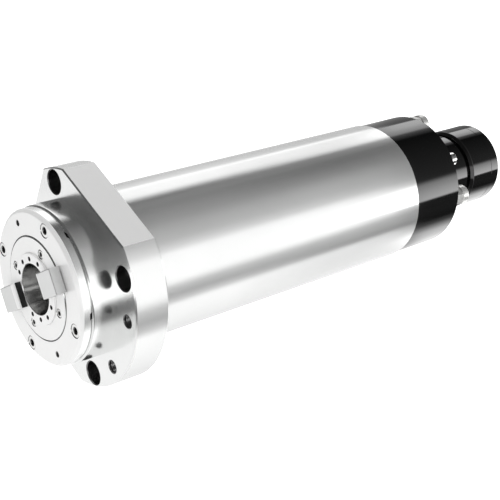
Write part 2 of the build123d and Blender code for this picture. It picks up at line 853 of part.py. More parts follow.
# Gripper fingers: hooks at the tip, a cam lobe in the middle and a root held by the drawbar head
for number in range(finger_count):
    middle_angle = number * 360 / finger_count
    with BuildPart() as finger:
        turned([
            (finger_tip, hook_radius),
            (finger_tip, finger_body),
            (lobe_start, finger_body),
            (lobe_start, lobe_radius),
            (cone_end, lobe_tail_radius),
            (cone_end, finger_body),
            (root_end, finger_body),
            (root_end, root_radius),
            (root_start, root_radius),
            (root_start, knob_radius),
            (finger_tip + hook_length, knob_radius),
            (finger_tip + hook_length, hook_radius),
        ])
        half = finger_span / 2
        reach = 3 * lobe_radius
        with BuildSketch(Plane.YZ.offset(finger_tip)):
            with BuildLine():
                Polyline((0, 0), *spots(reach, (middle_angle - half, middle_angle, middle_angle + half)),
                         close=True)
            make_face()
        extrude(amount=root_end - finger_tip, mode=Mode.INTERSECT)
    finger.part.label = f"gripper_finger_{number + 1}"
    export_step(finger.part, f"parts/gripper_finger_{number + 1}.step")

# Rear drum, screwed to the sleeve's end
with BuildPart() as rear_drum:
    web_bore = rear_nut_radius + web_clear
    turned([
        (rear_nest_end, web_bore),
        (rear_nest_end, carrier_radius - spigot_fit),
        (sleeve_length, carrier_radius - spigot_fit),
        (sleeve_length, drum_radius),
        (drum_end - drum_edge, drum_radius),
        (drum_end, drum_radius - drum_edge),
        (drum_end, drum_bore),
        (drum_cavity_end, drum_bore),
        (drum_cavity_end, drum_cavity_radius),
        (sleeve_length + drum_web, drum_cavity_radius),
        (sleeve_length + drum_web, web_bore),
    ])
    rods(sleeve_length, drum_end - sleeve_length, m6.shank + shank_room, drum_screw_circle,
         drum_screw_angles, Mode.SUBTRACT)
    rods(drum_end - fitting_thread_length, fitting_thread_length, fitting_thread, fitting_circle,
         fitting_angles, Mode.SUBTRACT)
    rods(drum_cavity_end, drum_rear_wall, m5.shank + shank_room, cylinder_screw_circle,
         cylinder_screw_angles, Mode.SUBTRACT)
rear_drum.part.label = "rear_drum"
export_step(rear_drum.part, "parts/rear_drum.step")

with BuildPart() as drum_screws:
    rear_screws(m6, drum_end, drum_end - sleeve_length + drum_screw_grip - head_gap,
                drum_screw_circle, drum_screw_angles)
drum_screws.part.label = "drum_screws"
export_step(drum_screws.part, "parts/drum_screws.step")

# Coolant hose fittings: hexagon foot, round push-in head
with BuildPart() as hose_fittings:
    hexes(drum_end, fitting_hex_height, fitting_hex, fitting_circle, fitting_angles)
    rods(drum_end + fitting_hex_height, fitting_height - fitting_hex_height, fitting_radius,
         fitting_circle, fitting_angles)
    mouths = hose_fittings.faces().filter_by(Axis.X).group_by(Axis.X)[-1].edges()
    chamfer(mouths, fitting_edge)
    rods(drum_end - fitting_thread_length, fitting_thread_length, fitting_thread - thread_gap,
         fitting_circle, fitting_angles)
    rods(drum_end - fitting_thread_length, fitting_thread_length + fitting_height, fitting_bore,
         fitting_circle, fitting_angles, Mode.SUBTRACT)
hose_fittings.part.label = "hose_fittings"
export_step(hose_fittings.part, "parts/hose_fittings.step")

# Power and signal connectors on the lower, hidden side of the drum
for label, angle, radius, pins in (("power_connector", power_angle, power_radius, power_pins),
                                   ("signal_connector", signal_angle, signal_radius, signal_pins)):
    with BuildPart() as connector:
        rods(drum_end, connector_flange, radius + connector_wall, connector_circle, (angle,))
        rods(drum_end, connector_height, radius, connector_circle, (angle,))
        rods(drum_end + connector_height - connector_depth, connector_depth, radius - connector_wall,
             connector_circle, (angle,), Mode.SUBTRACT)
        with BuildSketch(Plane.YZ.offset(drum_end + connector_height - connector_depth)):
            with Locations(*spots(connector_circle, (angle,))):
                with PolarLocations(radius / 2, pins):
                    Circle(connector_pin)
        extrude(amount=connector_pin_length)
    connector.part.label = label
    export_step(connector.part, f"parts/{label}.step")

# Release cylinder: spigot, boss, undercut and cylinder in one turned piece
with BuildPart() as release_cylinder:
    turned([
        (drum_end - boss_spigot, rod_radius + slide_gap),
        (drum_end - boss_spigot, drum_bore - spigot_fit),
        (drum_end, drum_bore - spigot_fit),
        (drum_end, boss_radius),
        (boss_end, boss_radius),
        (boss_end, boss_radius - undercut_depth),
        (undercut_end, boss_radius - undercut_depth),
        (undercut_end, cylinder_radius - cylinder_edge),
        (undercut_end + cylinder_edge, cylinder_radius),
        (cylinder_end, cylinder_radius),
        (cylinder_end, cylinder_bore),
        (chamber_start, cylinder_bore),
        (chamber_start, rod_radius + slide_gap),
    ])
    ring(rod_seal_start, rod_seal_start + rod_seal_width, 0, rod_radius + rod_seal_wall, Mode.SUBTRACT)
    rods(drum_end, screw_grip, m5.shank + thread_gap, cylinder_screw_circle,
         cylinder_screw_angles, Mode.SUBTRACT)
    rods(cylinder_end - screw_grip, screw_grip, m3.shank + thread_gap, cap_bolt_circle,
         cap_bolt_angles, Mode.SUBTRACT)
release_cylinder.part.label = "release_cylinder"
export_step(release_cylinder.part, "parts/release_cylinder.step")

with BuildPart() as cylinder_screws:
    front_screws(m5, drum_cavity_end - m5.height, drum_rear_wall + screw_grip - head_gap,
                 cylinder_screw_circle, cylinder_screw_angles)
cylinder_screws.part.label = "cylinder_screws"
export_step(cylinder_screws.part, "parts/cylinder_screws.step")

with BuildPart() as rod_seal:
    ring(rod_seal_start, rod_seal_start + rod_seal_width, rod_radius + slide_gap,
         rod_radius + rod_seal_wall)
rod_seal.part.label = "rod_seal"
export_step(rod_seal.part, "parts/rod_seal.step")

# Cylinder cap with the air port in its middle
with BuildPart() as cylinder_cap:
    turned([
        (cylinder_end - cap_spigot, 0),
        (cylinder_end - cap_spigot, cylinder_bore - spigot_fit),
        (cylinder_end, cylinder_bore - spigot_fit),
        (cylinder_end, cylinder_radius - cap_line),
        (cylinder_end + cap_line, cylinder_radius),
        (cap_end - rear_cap_edge, cylinder_radius),
        (cap_end, cylinder_radius - rear_cap_edge),
        (cap_end, 0),
    ])
    ring(cylinder_end - cap_spigot, cap_end, 0, air_port, Mode.SUBTRACT)
    rods(cylinder_end, cap_end - cylinder_end, m3.shank + shank_room, cap_bolt_circle,
         cap_bolt_angles, Mode.SUBTRACT)
    rods(cap_end - m3.height, m3.height, m3.head + head_room / 2, cap_bolt_circle,
         cap_bolt_angles, Mode.SUBTRACT)
cylinder_cap.part.label = "cylinder_cap"
export_step(cylinder_cap.part, "parts/cylinder_cap.step")

with BuildPart() as cylinder_cap_screws:
    rear_screws(m3, cap_end - m3.height, cap_end - m3.height - cylinder_end + screw_grip - head_gap,
                cap_bolt_circle, cap_bolt_angles)
cylinder_cap_screws.part.label = "cylinder_cap_screws"
export_step(cylinder_cap_screws.part, "parts/cylinder_cap_screws.step")

# Release piston with its ring and return spring
with BuildPart() as release_piston:
    ring_groove_start = (piston_start + piston_end - piston_ring_width) / 2
    turned([
        (rod_start, 0),
        (rod_start, rod_radius),
        (piston_start, rod_radius),
        (piston_start, cylinder_bore - slide_gap),
        (piston_end, cylinder_bore - slide_gap),
        (piston_end, 0),
    ])
    ring(ring_groove_start, ring_groove_start + piston_ring_width,
         cylinder_bore - slide_gap - piston_ring_depth, cylinder_bore + 1, Mode.SUBTRACT)
release_piston.part.label = "release_piston"
export_step(release_piston.part, "parts/release_piston.step")

with BuildPart() as piston_ring:
    ring(ring_groove_start, ring_groove_start + piston_ring_width,
         cylinder_bore - slide_gap - piston_ring_depth, cylinder_bore - slide_gap)
piston_ring.part.label = "piston_ring"
export_step(piston_ring.part, "parts/piston_ring.step")

with BuildPart() as return_spring:
    spring_room = piston_start - chamber_start - 2 * spring_wire
    spring_start = chamber_start + spring_wire
    with BuildLine():
        coil = Helix(pitch=spring_room / spring_turns, height=spring_room, radius=spring_coil,
                     center=(spring_start, 0, 0), direction=(1, 0, 0))
    with BuildSketch(Plane(origin=coil @ 0, z_dir=coil % 0)):
        RegularPolygon(spring_wire, 6)
    sweep(path=coil, is_frenet=True)
return_spring.part.label = "return_spring"
export_step(return_spring.part, "parts/return_spring.step")
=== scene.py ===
"""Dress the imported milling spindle: turned metal pieces, their finishes, the studio and the camera.

The spindle axis is X, the nose points to -X and +Z is up. Sizes are in millimetres, and each
mesh is scaled to metres when it is finished. Angles round the axis count from straight up
towards the port side, -Y.
"""
import logging
import math
from collections.abc import Callable, Iterable, Sequence
from dataclasses import dataclass, field
from enum import Enum

import bmesh
import bpy
from mathutils import Matrix, Vector


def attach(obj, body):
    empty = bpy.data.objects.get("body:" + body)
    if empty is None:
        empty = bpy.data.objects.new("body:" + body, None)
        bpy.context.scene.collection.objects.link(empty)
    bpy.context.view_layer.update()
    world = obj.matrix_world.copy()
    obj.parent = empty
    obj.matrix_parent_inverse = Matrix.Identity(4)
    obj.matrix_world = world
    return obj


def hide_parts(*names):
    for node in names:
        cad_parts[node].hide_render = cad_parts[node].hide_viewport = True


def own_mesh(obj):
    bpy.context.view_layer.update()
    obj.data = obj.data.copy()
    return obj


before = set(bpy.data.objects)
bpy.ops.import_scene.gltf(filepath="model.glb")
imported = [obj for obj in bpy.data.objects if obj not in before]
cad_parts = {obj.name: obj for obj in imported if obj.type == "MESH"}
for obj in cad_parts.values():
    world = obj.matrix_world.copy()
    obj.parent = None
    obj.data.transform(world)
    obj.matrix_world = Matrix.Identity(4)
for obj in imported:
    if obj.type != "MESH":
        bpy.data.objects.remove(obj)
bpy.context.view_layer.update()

LOG = logging.getLogger("spindle")
MM = 0.001
LAYERS = 4
Point = tuple[float, float]
Colour = tuple[float, float, float]
Edge = bmesh.types.BMEdge
Face = bmesh.types.BMFace
Vertex = bmesh.types.BMVert
Socket = bpy.types.NodeSocket

# Tolerances in millimetres: doubled points, slivers, points of a rim and faces of a flat
MERGE = 1e-4
SLIVER = 1e-5
CLOSE = 1e-3
NEAR = 1e-2

# Faces round one turn, from the housing down to a connector's pin
HOUSING_STEPS = 256
CYLINDER_STEPS = 192
SHELL_STEPS = 96
HOLE_STEPS = 64
SCREW_STEPS = 48
JACK_STEPS = 32
PIN_STEPS = 24
WIRE_STEPS = 16

# A cutter's start outside the metal, a thread's depth in pitches and a drill's point in radii
OVERRUN = 1.0
THREAD_DEPTH = 0.4
DRILL_POINT = 0.5

# A hexagon's sides, and its distance to a flat over its distance to a corner
HEX_SIDES = 6
HEX_RATIO = math.cos(math.pi / HEX_SIDES)


class Body(Enum):
    """The moving bodies that carry the pieces made here."""

    HOUSING = "housing"
    SHAFT = "shaft"


class Entry(Enum):
    """The end of the spindle from which a hole is cut or a screw is put in."""

    FRONT = 1
    REAR = -1


class Slot(Enum):
    """Material slots of the record."""

    POLISHED = "polished_steel"
    GROUND = "ground_steel"
    HARDENED = "hardened_steel"
    KEY = "key_steel"
    BEARING = "bearing_steel"
    SCREW = "screw_steel"
    BLACK = "black_anodised"
    NICKEL = "nickel_plate"
    JACKET = "jacket_aluminium"
    LAMINATION = "lamination_steel"
    COPPER = "copper_winding"
    ROTOR = "rotor_bars"
    SPRING = "spring_steel"
    RUBBER = "seal_rubber"
    PLASTIC = "connector_plastic"


# Workshop: how a mesh is turned, drilled and finished


def radius_at(vertex: Vertex) -> float:
    """How far a point lies from the spindle axis."""
    return math.hypot(vertex.co.y, vertex.co.z)


def set_out(points: Iterable[Point], station: float, entry: Entry = Entry.FRONT) -> list[Point]:
    """Points measured from a station into the metal, as seen from one end of the spindle."""
    return [(station + entry.value * x, r) for x, r in points]


def front_edge(station: float, radius: float, width: float) -> list[Point]:
    """The two points of a broken edge that faces the nose."""
    return [(station, radius - width), (station + width, radius)]


def rear_edge(station: float, radius: float, width: float) -> list[Point]:
    """The two points of a broken edge that faces the tail."""
    return [(station - width, radius), (station, radius - width)]


def angles_round(first: float, count: int) -> list[float]:
    """Evenly spaced places round the axis."""
    return [first + 360.0 * n / count for n in range(count)]


def faces_front(face: Face, station: float) -> bool:
    """Whether a face lies square to the axis at a station."""
    return all(abs(v.co.x - station) < CLOSE for v in face.verts)


def poured(mesh: bmesh.types.BMesh, name: str) -> bpy.types.Mesh:
    """Turn a working mesh into mesh data, and free it."""
    data = bpy.data.meshes.new(name)
    mesh.to_mesh(data)
    mesh.free()
    return data


def scene_object(name: str, data: bpy.types.ID) -> bpy.types.Object:
    """A new object in the scene."""
    thing = bpy.data.objects.new(name, data)
    bpy.context.scene.collection.objects.link(thing)
    return thing


class Workpiece:
    """A closed mesh on the machine, in millimetres about the spindle axis."""

    def __init__(self) -> None:
        """Start with no metal."""
        self.mesh = bmesh.new()

    @classmethod
    def turned(cls, profile: Sequence[Point], steps: int) -> "Workpiece":
        """Spin a closed profile about the axis.

        Args:
            profile: (station, radius) points in order round the section.
            steps: How many faces go round the axis.

        Returns:
            The turned solid.
        """
        piece = cls()
        corners = [piece.mesh.verts.new((x, 0.0, r)) for x, r in profile]
        lines = []
        for first, second in zip(corners, corners[1:] + corners[:1]):
            if first.co.z > 0.0 or second.co.z > 0.0:
                lines.append(piece.mesh.edges.new((first, second)))
        bmesh.ops.spin(piece.mesh, geom=corners + lines, cent=(0, 0, 0), axis=(1, 0, 0),
                       dvec=(0, 0, 0), angle=math.tau, steps=steps, use_merge=True)
        piece.clean()
        return piece

    @classmethod
    def bar(cls, start: float, end: float, radius: float) -> "Workpiece":
        """A hexagon bar along the axis.

        Args:
            start: Front station.
            end: Rear station.
            radius: Distance from the axis to a flat.

        Returns:
            The bar, centred on the axis.
        """
        piece = cls()
        corner = radius / HEX_RATIO
        bmesh.ops.create_cone(piece.mesh, cap_ends=True, segments=HEX_SIDES, radius1=corner,
                              radius2=corner, depth=end - start)
        middle = Matrix.Translation(((start + end) / 2, 0, 0))
        return piece.moved(middle @ Matrix.Rotation(math.pi / 2, 4, "Y"))

    @classmethod
    def coil(cls, start: float, end: float, radius: float, wire: float,
             turns: float) -> "Workpiece":
        """A wire wound round the axis.

        Args:
            start: Front station of the wound wire.
            end: Rear station of the wound wire.
            radius: Distance from the axis to the middle of the wire.
            wire: Radius of the wire.
            turns: How many times it goes round.

        Returns:
            The wire, closed at both ends.
        """
        piece = cls()
        steps = round(SCREW_STEPS * turns)
        bmesh.ops.create_circle(piece.mesh, segments=WIRE_STEPS, radius=wire)
        first = Matrix.Translation((start + wire, 0, radius))
        piece.moved(first @ Matrix.Rotation(math.pi / 2, 4, "X"))
        ring = list(piece.mesh.verts) + list(piece.mesh.edges)
        bmesh.ops.spin(piece.mesh, geom=ring, cent=(0, 0, 0), axis=(1, 0, 0),
                       dvec=((end - start - 2 * wire) / steps, 0, 0), angle=math.tau * turns,
                       steps=steps, use_merge=False)
        ends = [edge for edge in piece.mesh.edges if edge.is_boundary]
        bmesh.ops.holes_fill(piece.mesh, edges=ends)
        piece.clean()
        return piece

    @classmethod
    def block(cls, low: Sequence[float], high: Sequence[float]) -> "Workpiece":
        """A square block between two corners."""
        piece = cls()
        bmesh.ops.create_cube(piece.mesh, size=1.0)
        near, far = Vector(low), Vector(high)
        bmesh.ops.scale(piece.mesh, vec=far - near, verts=piece.mesh.verts)
        bmesh.ops.translate(piece.mesh, vec=(near + far) / 2, verts=piece.mesh.verts)
        return piece

    def clean(self) -> None:
        """Merge doubled points and turn every face outwards."""
        bmesh.ops.remove_doubles(self.mesh, verts=self.mesh.verts, dist=MERGE)
        bmesh.ops.dissolve_degenerate(self.mesh, edges=self.mesh.edges, dist=SLIVER)
        bmesh.ops.recalc_face_normals(self.mesh, faces=self.mesh.faces)

    def moved(self, matrix: Matrix) -> "Workpiece":
        """Move every point of the piece by a matrix."""
        bmesh.ops.transform(self.mesh, matrix=matrix, verts=self.mesh.verts)
        return self

    def placed(self, circle: float, angle: float) -> "Workpiece":
        """Move the piece out to a pitch circle and round to an angle."""
        turn = Matrix.Rotation(math.radians(angle), 4, "X")
        return self.moved(turn @ Matrix.Translation((0, 0, circle)))

    def bevelled(self, width: float, steps: int, chosen: Callable[[Edge], bool]) -> "Workpiece":
        """Break the chosen edges.

        Args:
            width: How far the break reaches on each side.
            steps: Faces across the break: one is a chamfer, more is a round.
            chosen: Says whether an edge is broken.

        Returns:
            The same piece.
        """
        edges = [edge for edge in self.mesh.edges if chosen(edge)]
        bmesh.ops.bevel(self.mesh, geom=edges, offset=width, offset_type="OFFSET", segments=steps,
                        profile=0.5, affect="EDGES", clamp_overlap=True, material=-1)
        return self

    def rounded_rims(self, width: float, rims: Sequence[Point], steps: int = 3) -> "Workpiece":
        """Round the turned rims that run through the given (station, radius) points."""
        def on_rim(edge: Edge) -> bool:
            """Whether both ends of an edge lie on one of the rims."""
            return any(all(abs(v.co.x - x) < CLOSE and abs(radius_at(v) - r) < CLOSE
                           for v in edge.verts) for x, r in rims)

        return self.bevelled(width, steps, on_rim)

    def sliced(self, distance: float, direction: Vector) -> "Workpiece":
        """Mill a flat at a distance from the axis, facing a direction."""
        whole = list(self.mesh.verts) + list(self.mesh.edges) + list(self.mesh.faces)
        cut = bmesh.ops.bisect_plane(self.mesh, geom=whole, dist=MERGE, plane_no=direction,
                                     plane_co=direction * distance, clear_outer=True)
        border = [part for part in cut["geom_cut"] if isinstance(part, Edge)]
        bmesh.ops.edgeloop_fill(self.mesh, edges=border)
        self.clean()
        return self

    def added(self, others: Iterable["Workpiece"]) -> "Workpiece":
        """Put other closed pieces into the same mesh, and use them up."""
        for other in others:
            spare = poured(other.mesh, "spare")
            self.mesh.from_mesh(spare)
            bpy.data.meshes.remove(spare)
        return self

    def cut_by(self, tools: Sequence["Workpiece"], layer: int = 1) -> "Workpiece":
        """Cut the tools' shapes out of the piece, and use the tools up.

        Args:
            tools: The solids to cut away.
            layer: Which of the piece's finishes the cut faces take, counted from nothing.

        Returns:
            The same piece.
        """
        self.mesh = self._without(Workpiece().added(tools).painted(layer))
        return self

    def painted(self, layer: int,
                chosen: Callable[[Face], bool] | None = None) -> "Workpiece":
        """Mark faces for one of the piece's finishes.

        Args:
            layer: Which finish, counted from nothing.
            chosen: Says whether a face is marked; every face is where it is left out.

        Returns:
            The same piece.
        """
        for face in self.mesh.faces:
            if chosen is None or chosen(face):
                face.material_index = layer
        return self

    def _without(self, other: "Workpiece") -> bmesh.types.BMesh:
        """Cut another piece out of this one with an exact boolean.

        Args:
            other: The second piece, which is used up.

        Returns:
            A new mesh of the result.
        """
        bench = []
        for piece in (self, other):
            piece.clean()
            data = poured(piece.mesh, "bench")
            for _ in range(LAYERS):
                data.materials.append(None)
            bench.append(scene_object("bench", data))
        step = bench[0].modifiers.new("cut", "BOOLEAN")
        step.operation = "DIFFERENCE"
        step.solver = "EXACT"
        step.material_mode = "INDEX"
        step.object = bench[1]
        graph = bpy.context.evaluated_depsgraph_get()
        result = bpy.data.meshes.new_from_object(bench[0].evaluated_get(graph))
        fresh = bmesh.new()
        fresh.from_mesh(result)
        for thing in bench:
            data = thing.data
            bpy.data.objects.remove(thing)
            bpy.data.meshes.remove(data)
        bpy.data.meshes.remove(result)
        return fresh

    def finished(self, name: str, body: Body, finishes: Sequence["Finish"],
                 replaces: Sequence[str], crease: float = 28.0) -> bpy.types.Object:
        """Make the scene's object of the piece and hand it to its body.

        Args:
            name: Name of the object.
            body: Body that it moves with.
            finishes: Its finishes in order.
            replaces: CAD nodes that the piece stands for.
            crease: Angle in degrees from which an edge between two faces stays sharp.

        Returns:
            The object, at the origin, unturned and unscaled.
        """
        self.clean()
        bmesh.ops.scale(self.mesh, vec=(MM, MM, MM), verts=self.mesh.verts)
        for face in self.mesh.faces:
            face.smooth = True
        data = poured(self.mesh, name)
        data.set_sharp_from_angle(angle=math.radians(crease))
        piece = scene_object(name, data)
        even = piece.modifiers.new("even", "WEIGHTED_NORMAL")
        even.keep_sharp = True
        even.weight = 100
        graph = bpy.context.evaluated_depsgraph_get()
        baked = bpy.data.meshes.new_from_object(piece.evaluated_get(graph))
        piece.modifiers.clear()
        piece.data = baked
        bpy.data.meshes.remove(data)
        baked.name = name
        layers = [face.material_index for face in baked.polygons]
        baked.materials.clear()
        for finish in finishes:
            baked.materials.append(finish.material())
        for face, layer in zip(baked.polygons, layers):
            face.material_index = min(layer, len(finishes) - 1)
        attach(piece, body.value)
        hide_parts(*replaces)
        LOG.info("%s: %d faces, rides on %s", name, len(baked.polygons), body.value)
        return piece


@dataclass(frozen=True)
class Pattern:
    """Places on a pitch circle, where holes are drilled and screws put in.

    Attributes:
        circle: Radius of the pitch circle.
        angles: Places round the axis.
        entry: End of the spindle that they face.
    """

    circle: float
    angles: tuple[float, ...]
    entry: Entry = Entry.FRONT


@dataclass(frozen=True)
class Hole:
    """A hole with a broken mouth and, if asked, a wider head room or a thread.

    Attributes:
        radius: Radius of the hole.
        depth: How deep the hole goes.
        mouth: Width of the broken edge at its mouth.
        head_radius: Radius of the counterbore, or nothing.
        head_depth: Depth of the counterbore.
        pitch: Pitch of its thread, or nothing.
        steps: How many faces go round it.
    """

    radius: float
    depth: float
    mouth: float
    head_radius: float = 0.0
    head_depth: float = 0.0
    pitch: float = 0.0
    steps: int = HOLE_STEPS

    def tools(self, face: float, places: Pattern) -> list[Workpiece]:
        """The solids that cut the hole, from a surface at a station, at each place."""
        wide = self.head_radius or self.radius
        points = [(-OVERRUN, 0.0), (-OVERRUN, wide + self.mouth + OVERRUN), (self.mouth, wide)]
        if self.head_radius:
            points += [(self.head_depth, wide), (self.head_depth, self.radius)]
        if self.pitch:
            root = self.radius + self.pitch * THREAD_DEPTH
            station = (self.head_depth or self.mouth) + self.pitch
            while station + self.pitch < self.depth:
                points += [(station, self.radius), (station + self.pitch / 2, root)]
                station += self.pitch
        tip = self.depth + self.radius * DRILL_POINT
        points += [(self.depth, self.radius), (tip, 0.0)]
        profile = set_out(points, face, places.entry)
        return [Workpiece.turned(profile, self.steps).placed(places.circle, angle)
                for angle in places.angles]


@dataclass(frozen=True)
class CapScrew:
    """A socket cap screw.

    Attributes:
        shank: Radius of the shank.
        head: Radius of the head.
        height: Height of the head.
        key: Distance from the screw's axis to a flat of its socket.
        socket: Depth of the socket.
        head_round: Width of the round on top of the head.
        round_middle: How far in and down the middle of that round lies.
        head_edge: Width of the broken edge under the head.
        tip_edge: Width of the broken edge at the tip of the shank.
        sink: Slope, reach and margin of the cone at the socket's mouth.
    """

    shank: float
    head: float
    height: float
    key: float
    socket: float
    head_round: float = 0.35
    round_middle: Point = (0.1, 0.12)
    head_edge: float = 0.2
    tip_edge: float = 0.4
    sink: tuple[float, float, float] = (0.25, 0.85, 1.1)

    def _blank(self, seat: float, grip: float, entry: Entry) -> Workpiece:
        """The screw on the axis, before its socket is cut."""
        top = -self.height
        down, inward = self.round_middle
        points = [(top, 0.0), (top, self.head - self.head_round), (top + down, self.head - inward),
                  (top + self.head_round, self.head), (-self.head_edge, self.head),
                  (0.0, self.head - self.head_edge), (0.0, self.shank),
                  *rear_edge(grip, self.shank, self.tip_edge), (grip, 0.0)]
        return Workpiece.turned(set_out(points, seat, entry), SCREW_STEPS)

    def row(self, seat: float, grip: float, places: Pattern) -> list[Workpiece]:
        """The same screw at each place.

        Args:
            seat: Station of the surface under its head.
            grip: Length of the shank.
            places: Where the screws go in.

        Returns:
            The screws.
        """
        top = -self.height
        way = places.entry.value
        front, rear = sorted(seat + way * x for x in (top - OVERRUN, top + self.socket))
        lead = self.key / HEX_RATIO
        slope, reach, margin = self.sink
        cone = set_out([(top - OVERRUN, 0.0), (top - OVERRUN, lead + margin),
                        (top + lead * slope, lead * reach), (top + lead * slope, 0.0)],
                       seat, places.entry)
        screws = []
        for angle in places.angles:
            screw = self._blank(seat, grip, places.entry)
            screw.cut_by([Workpiece.bar(front, rear, self.key)])
            screw.cut_by([Workpiece.turned(cone, SCREW_STEPS)])
            screws.append(screw.placed(places.circle, angle))
        return screws


# Finishes

# Places of the two colours and of the result on a Mix node, and the height in metres of a full bump
FIRST_COLOUR, SECOND_COLOUR, MIXED_COLOUR = 6, 7, 2
BUMP_HEIGHT = 0.0001


class Graph:
    """Adds nodes to one node tree and joins them."""

    def __init__(self, tree: bpy.types.NodeTree) -> None:
        """Work on a tree."""
        self.tree = tree

    def add(self, kind: str, inputs: dict | None = None, **settings: object) -> bpy.types.Node:
        """Add a node.

        Args:
            kind: Node type, as in "ShaderNodeMath".
            inputs: Values or sockets for its inputs, by name or place.
            **settings: Values for its properties.

        Returns:
            The node.
        """
        node = self.tree.nodes.new(kind)
        for name, value in settings.items():
            setattr(node, name, value)
        for name, value in (inputs or {}).items():
            socket = node.inputs[name]
            if isinstance(value, bpy.types.NodeSocket):
                self.tree.links.new(value, socket)
            else:
                socket.default_value = value
        return node

    def sum(self, operation: str, *values: object) -> bpy.types.NodeSocket:
        """A Math node on the given numbers or sockets, and its result."""
        return self.add("ShaderNodeMath", dict(enumerate(values)), operation=operation).outputs[0]

    def noise(self, vector: Socket, scale: float | Socket, detail: float, roughness: float,
              distortion: float = 0.0) -> Socket:
        """A noise value that reads a vector."""
        return self.add("ShaderNodeTexNoise", {
            "Vector": vector, "Scale": scale, "Detail": detail, "Roughness": roughness,
            "Distortion": distortion}).outputs["Fac"]

    def vector(self, *parts: float | Socket) -> Socket:
        """A vector of three numbers or sockets."""
        return self.add("ShaderNodeCombineXYZ", dict(enumerate(parts))).outputs[0]

    def mixed(self, share: float | Socket, first: Socket, second: Socket) -> Socket:
        """A mix of two shaders, with a share of the second."""
        return self.add("ShaderNodeMixShader", {0: share, 1: first, 2: second}).outputs[0]


class SharedEffects:
    """Node groups that several finishes use, each built once."""

    def __init__(self) -> None:
        """Build the groups."""
        self.turning = self._turning_marks()
        self.handling = self._handling_marks()
        self.grain = self._fine_grain()

    @staticmethod
    def _started(name: str, **inputs: float) -> tuple[Graph, dict[str, Socket], Socket]:
        """Start a group with number inputs and one number output.

        Args:
            name: Name of the group.
            **inputs: Its inputs with their usual values.

        Returns:
            A Graph on the group, its inputs by name, and the place on the piece.
        """
        group = bpy.data.node_groups.new(name, "ShaderNodeTree")
        sockets = {"socket_type": "NodeSocketFloat"}
        for label, value in inputs.items():
            group.interface.new_socket(label, in_out="INPUT", **sockets).default_value = value
        group.interface.new_socket("Value", in_out="OUTPUT", **sockets)
        graph = Graph(group)
        place = graph.add("ShaderNodeTexCoord").outputs["Object"]
        return graph, dict(graph.add("NodeGroupInput").outputs.items()), place

    @staticmethod
    def _ended(graph: Graph, value: Socket) -> bpy.types.NodeTree:
        """Give a group its value, and the group."""
        graph.add("NodeGroupOutput", {"Value": value})
        return graph.tree

    def _turning_marks(self) -> bpy.types.NodeTree:
        """Fine lines that a lathe or grinder leaves round the axis, on rims and faces alike."""
        graph, given, place = self._started("turning marks", Lines=2500.0, Waver=30.0)
        axes = graph.add("ShaderNodeSeparateXYZ", {"Vector": place}).outputs
        across = graph.vector(0.0, axes["Y"], axes["Z"])
        radius = graph.add("ShaderNodeVectorMath", {0: across}, operation="LENGTH")
        run = graph.sum("ADD", axes["X"], radius.outputs["Value"])
        strip = graph.vector(graph.sum("MULTIPLY", run, given["Lines"]),
                             graph.sum("MULTIPLY", axes["Y"], given["Waver"]),
                             graph.sum("MULTIPLY", axes["Z"], given["Waver"]))
        return self._ended(graph, graph.noise(strip, 1.0, detail=3.0, roughness=0.65))

    def _handling_marks(self) -> bpy.types.NodeTree:
        """Soft smears and wiped patches on a surface that hands and rags have met."""
        graph, given, place = self._started("handling marks", Size=18.0, Edge=0.3)
        broad = graph.noise(place, given["Size"], detail=4.0, roughness=0.6, distortion=0.6)
        spread = graph.add("ShaderNodeMapRange", {"Value": broad, "From Min": given["Edge"],
                                                  "From Max": 0.75})
        return self._ended(graph, spread.outputs["Result"])

    def _fine_grain(self) -> bpy.types.NodeTree:
        """Even grain of a blasted, cast or moulded surface."""
        graph, given, place = self._started("fine grain", Size=1800.0)
        return self._ended(graph, graph.noise(place, given["Size"], detail=2.0, roughness=0.7))


EFFECTS = SharedEffects()


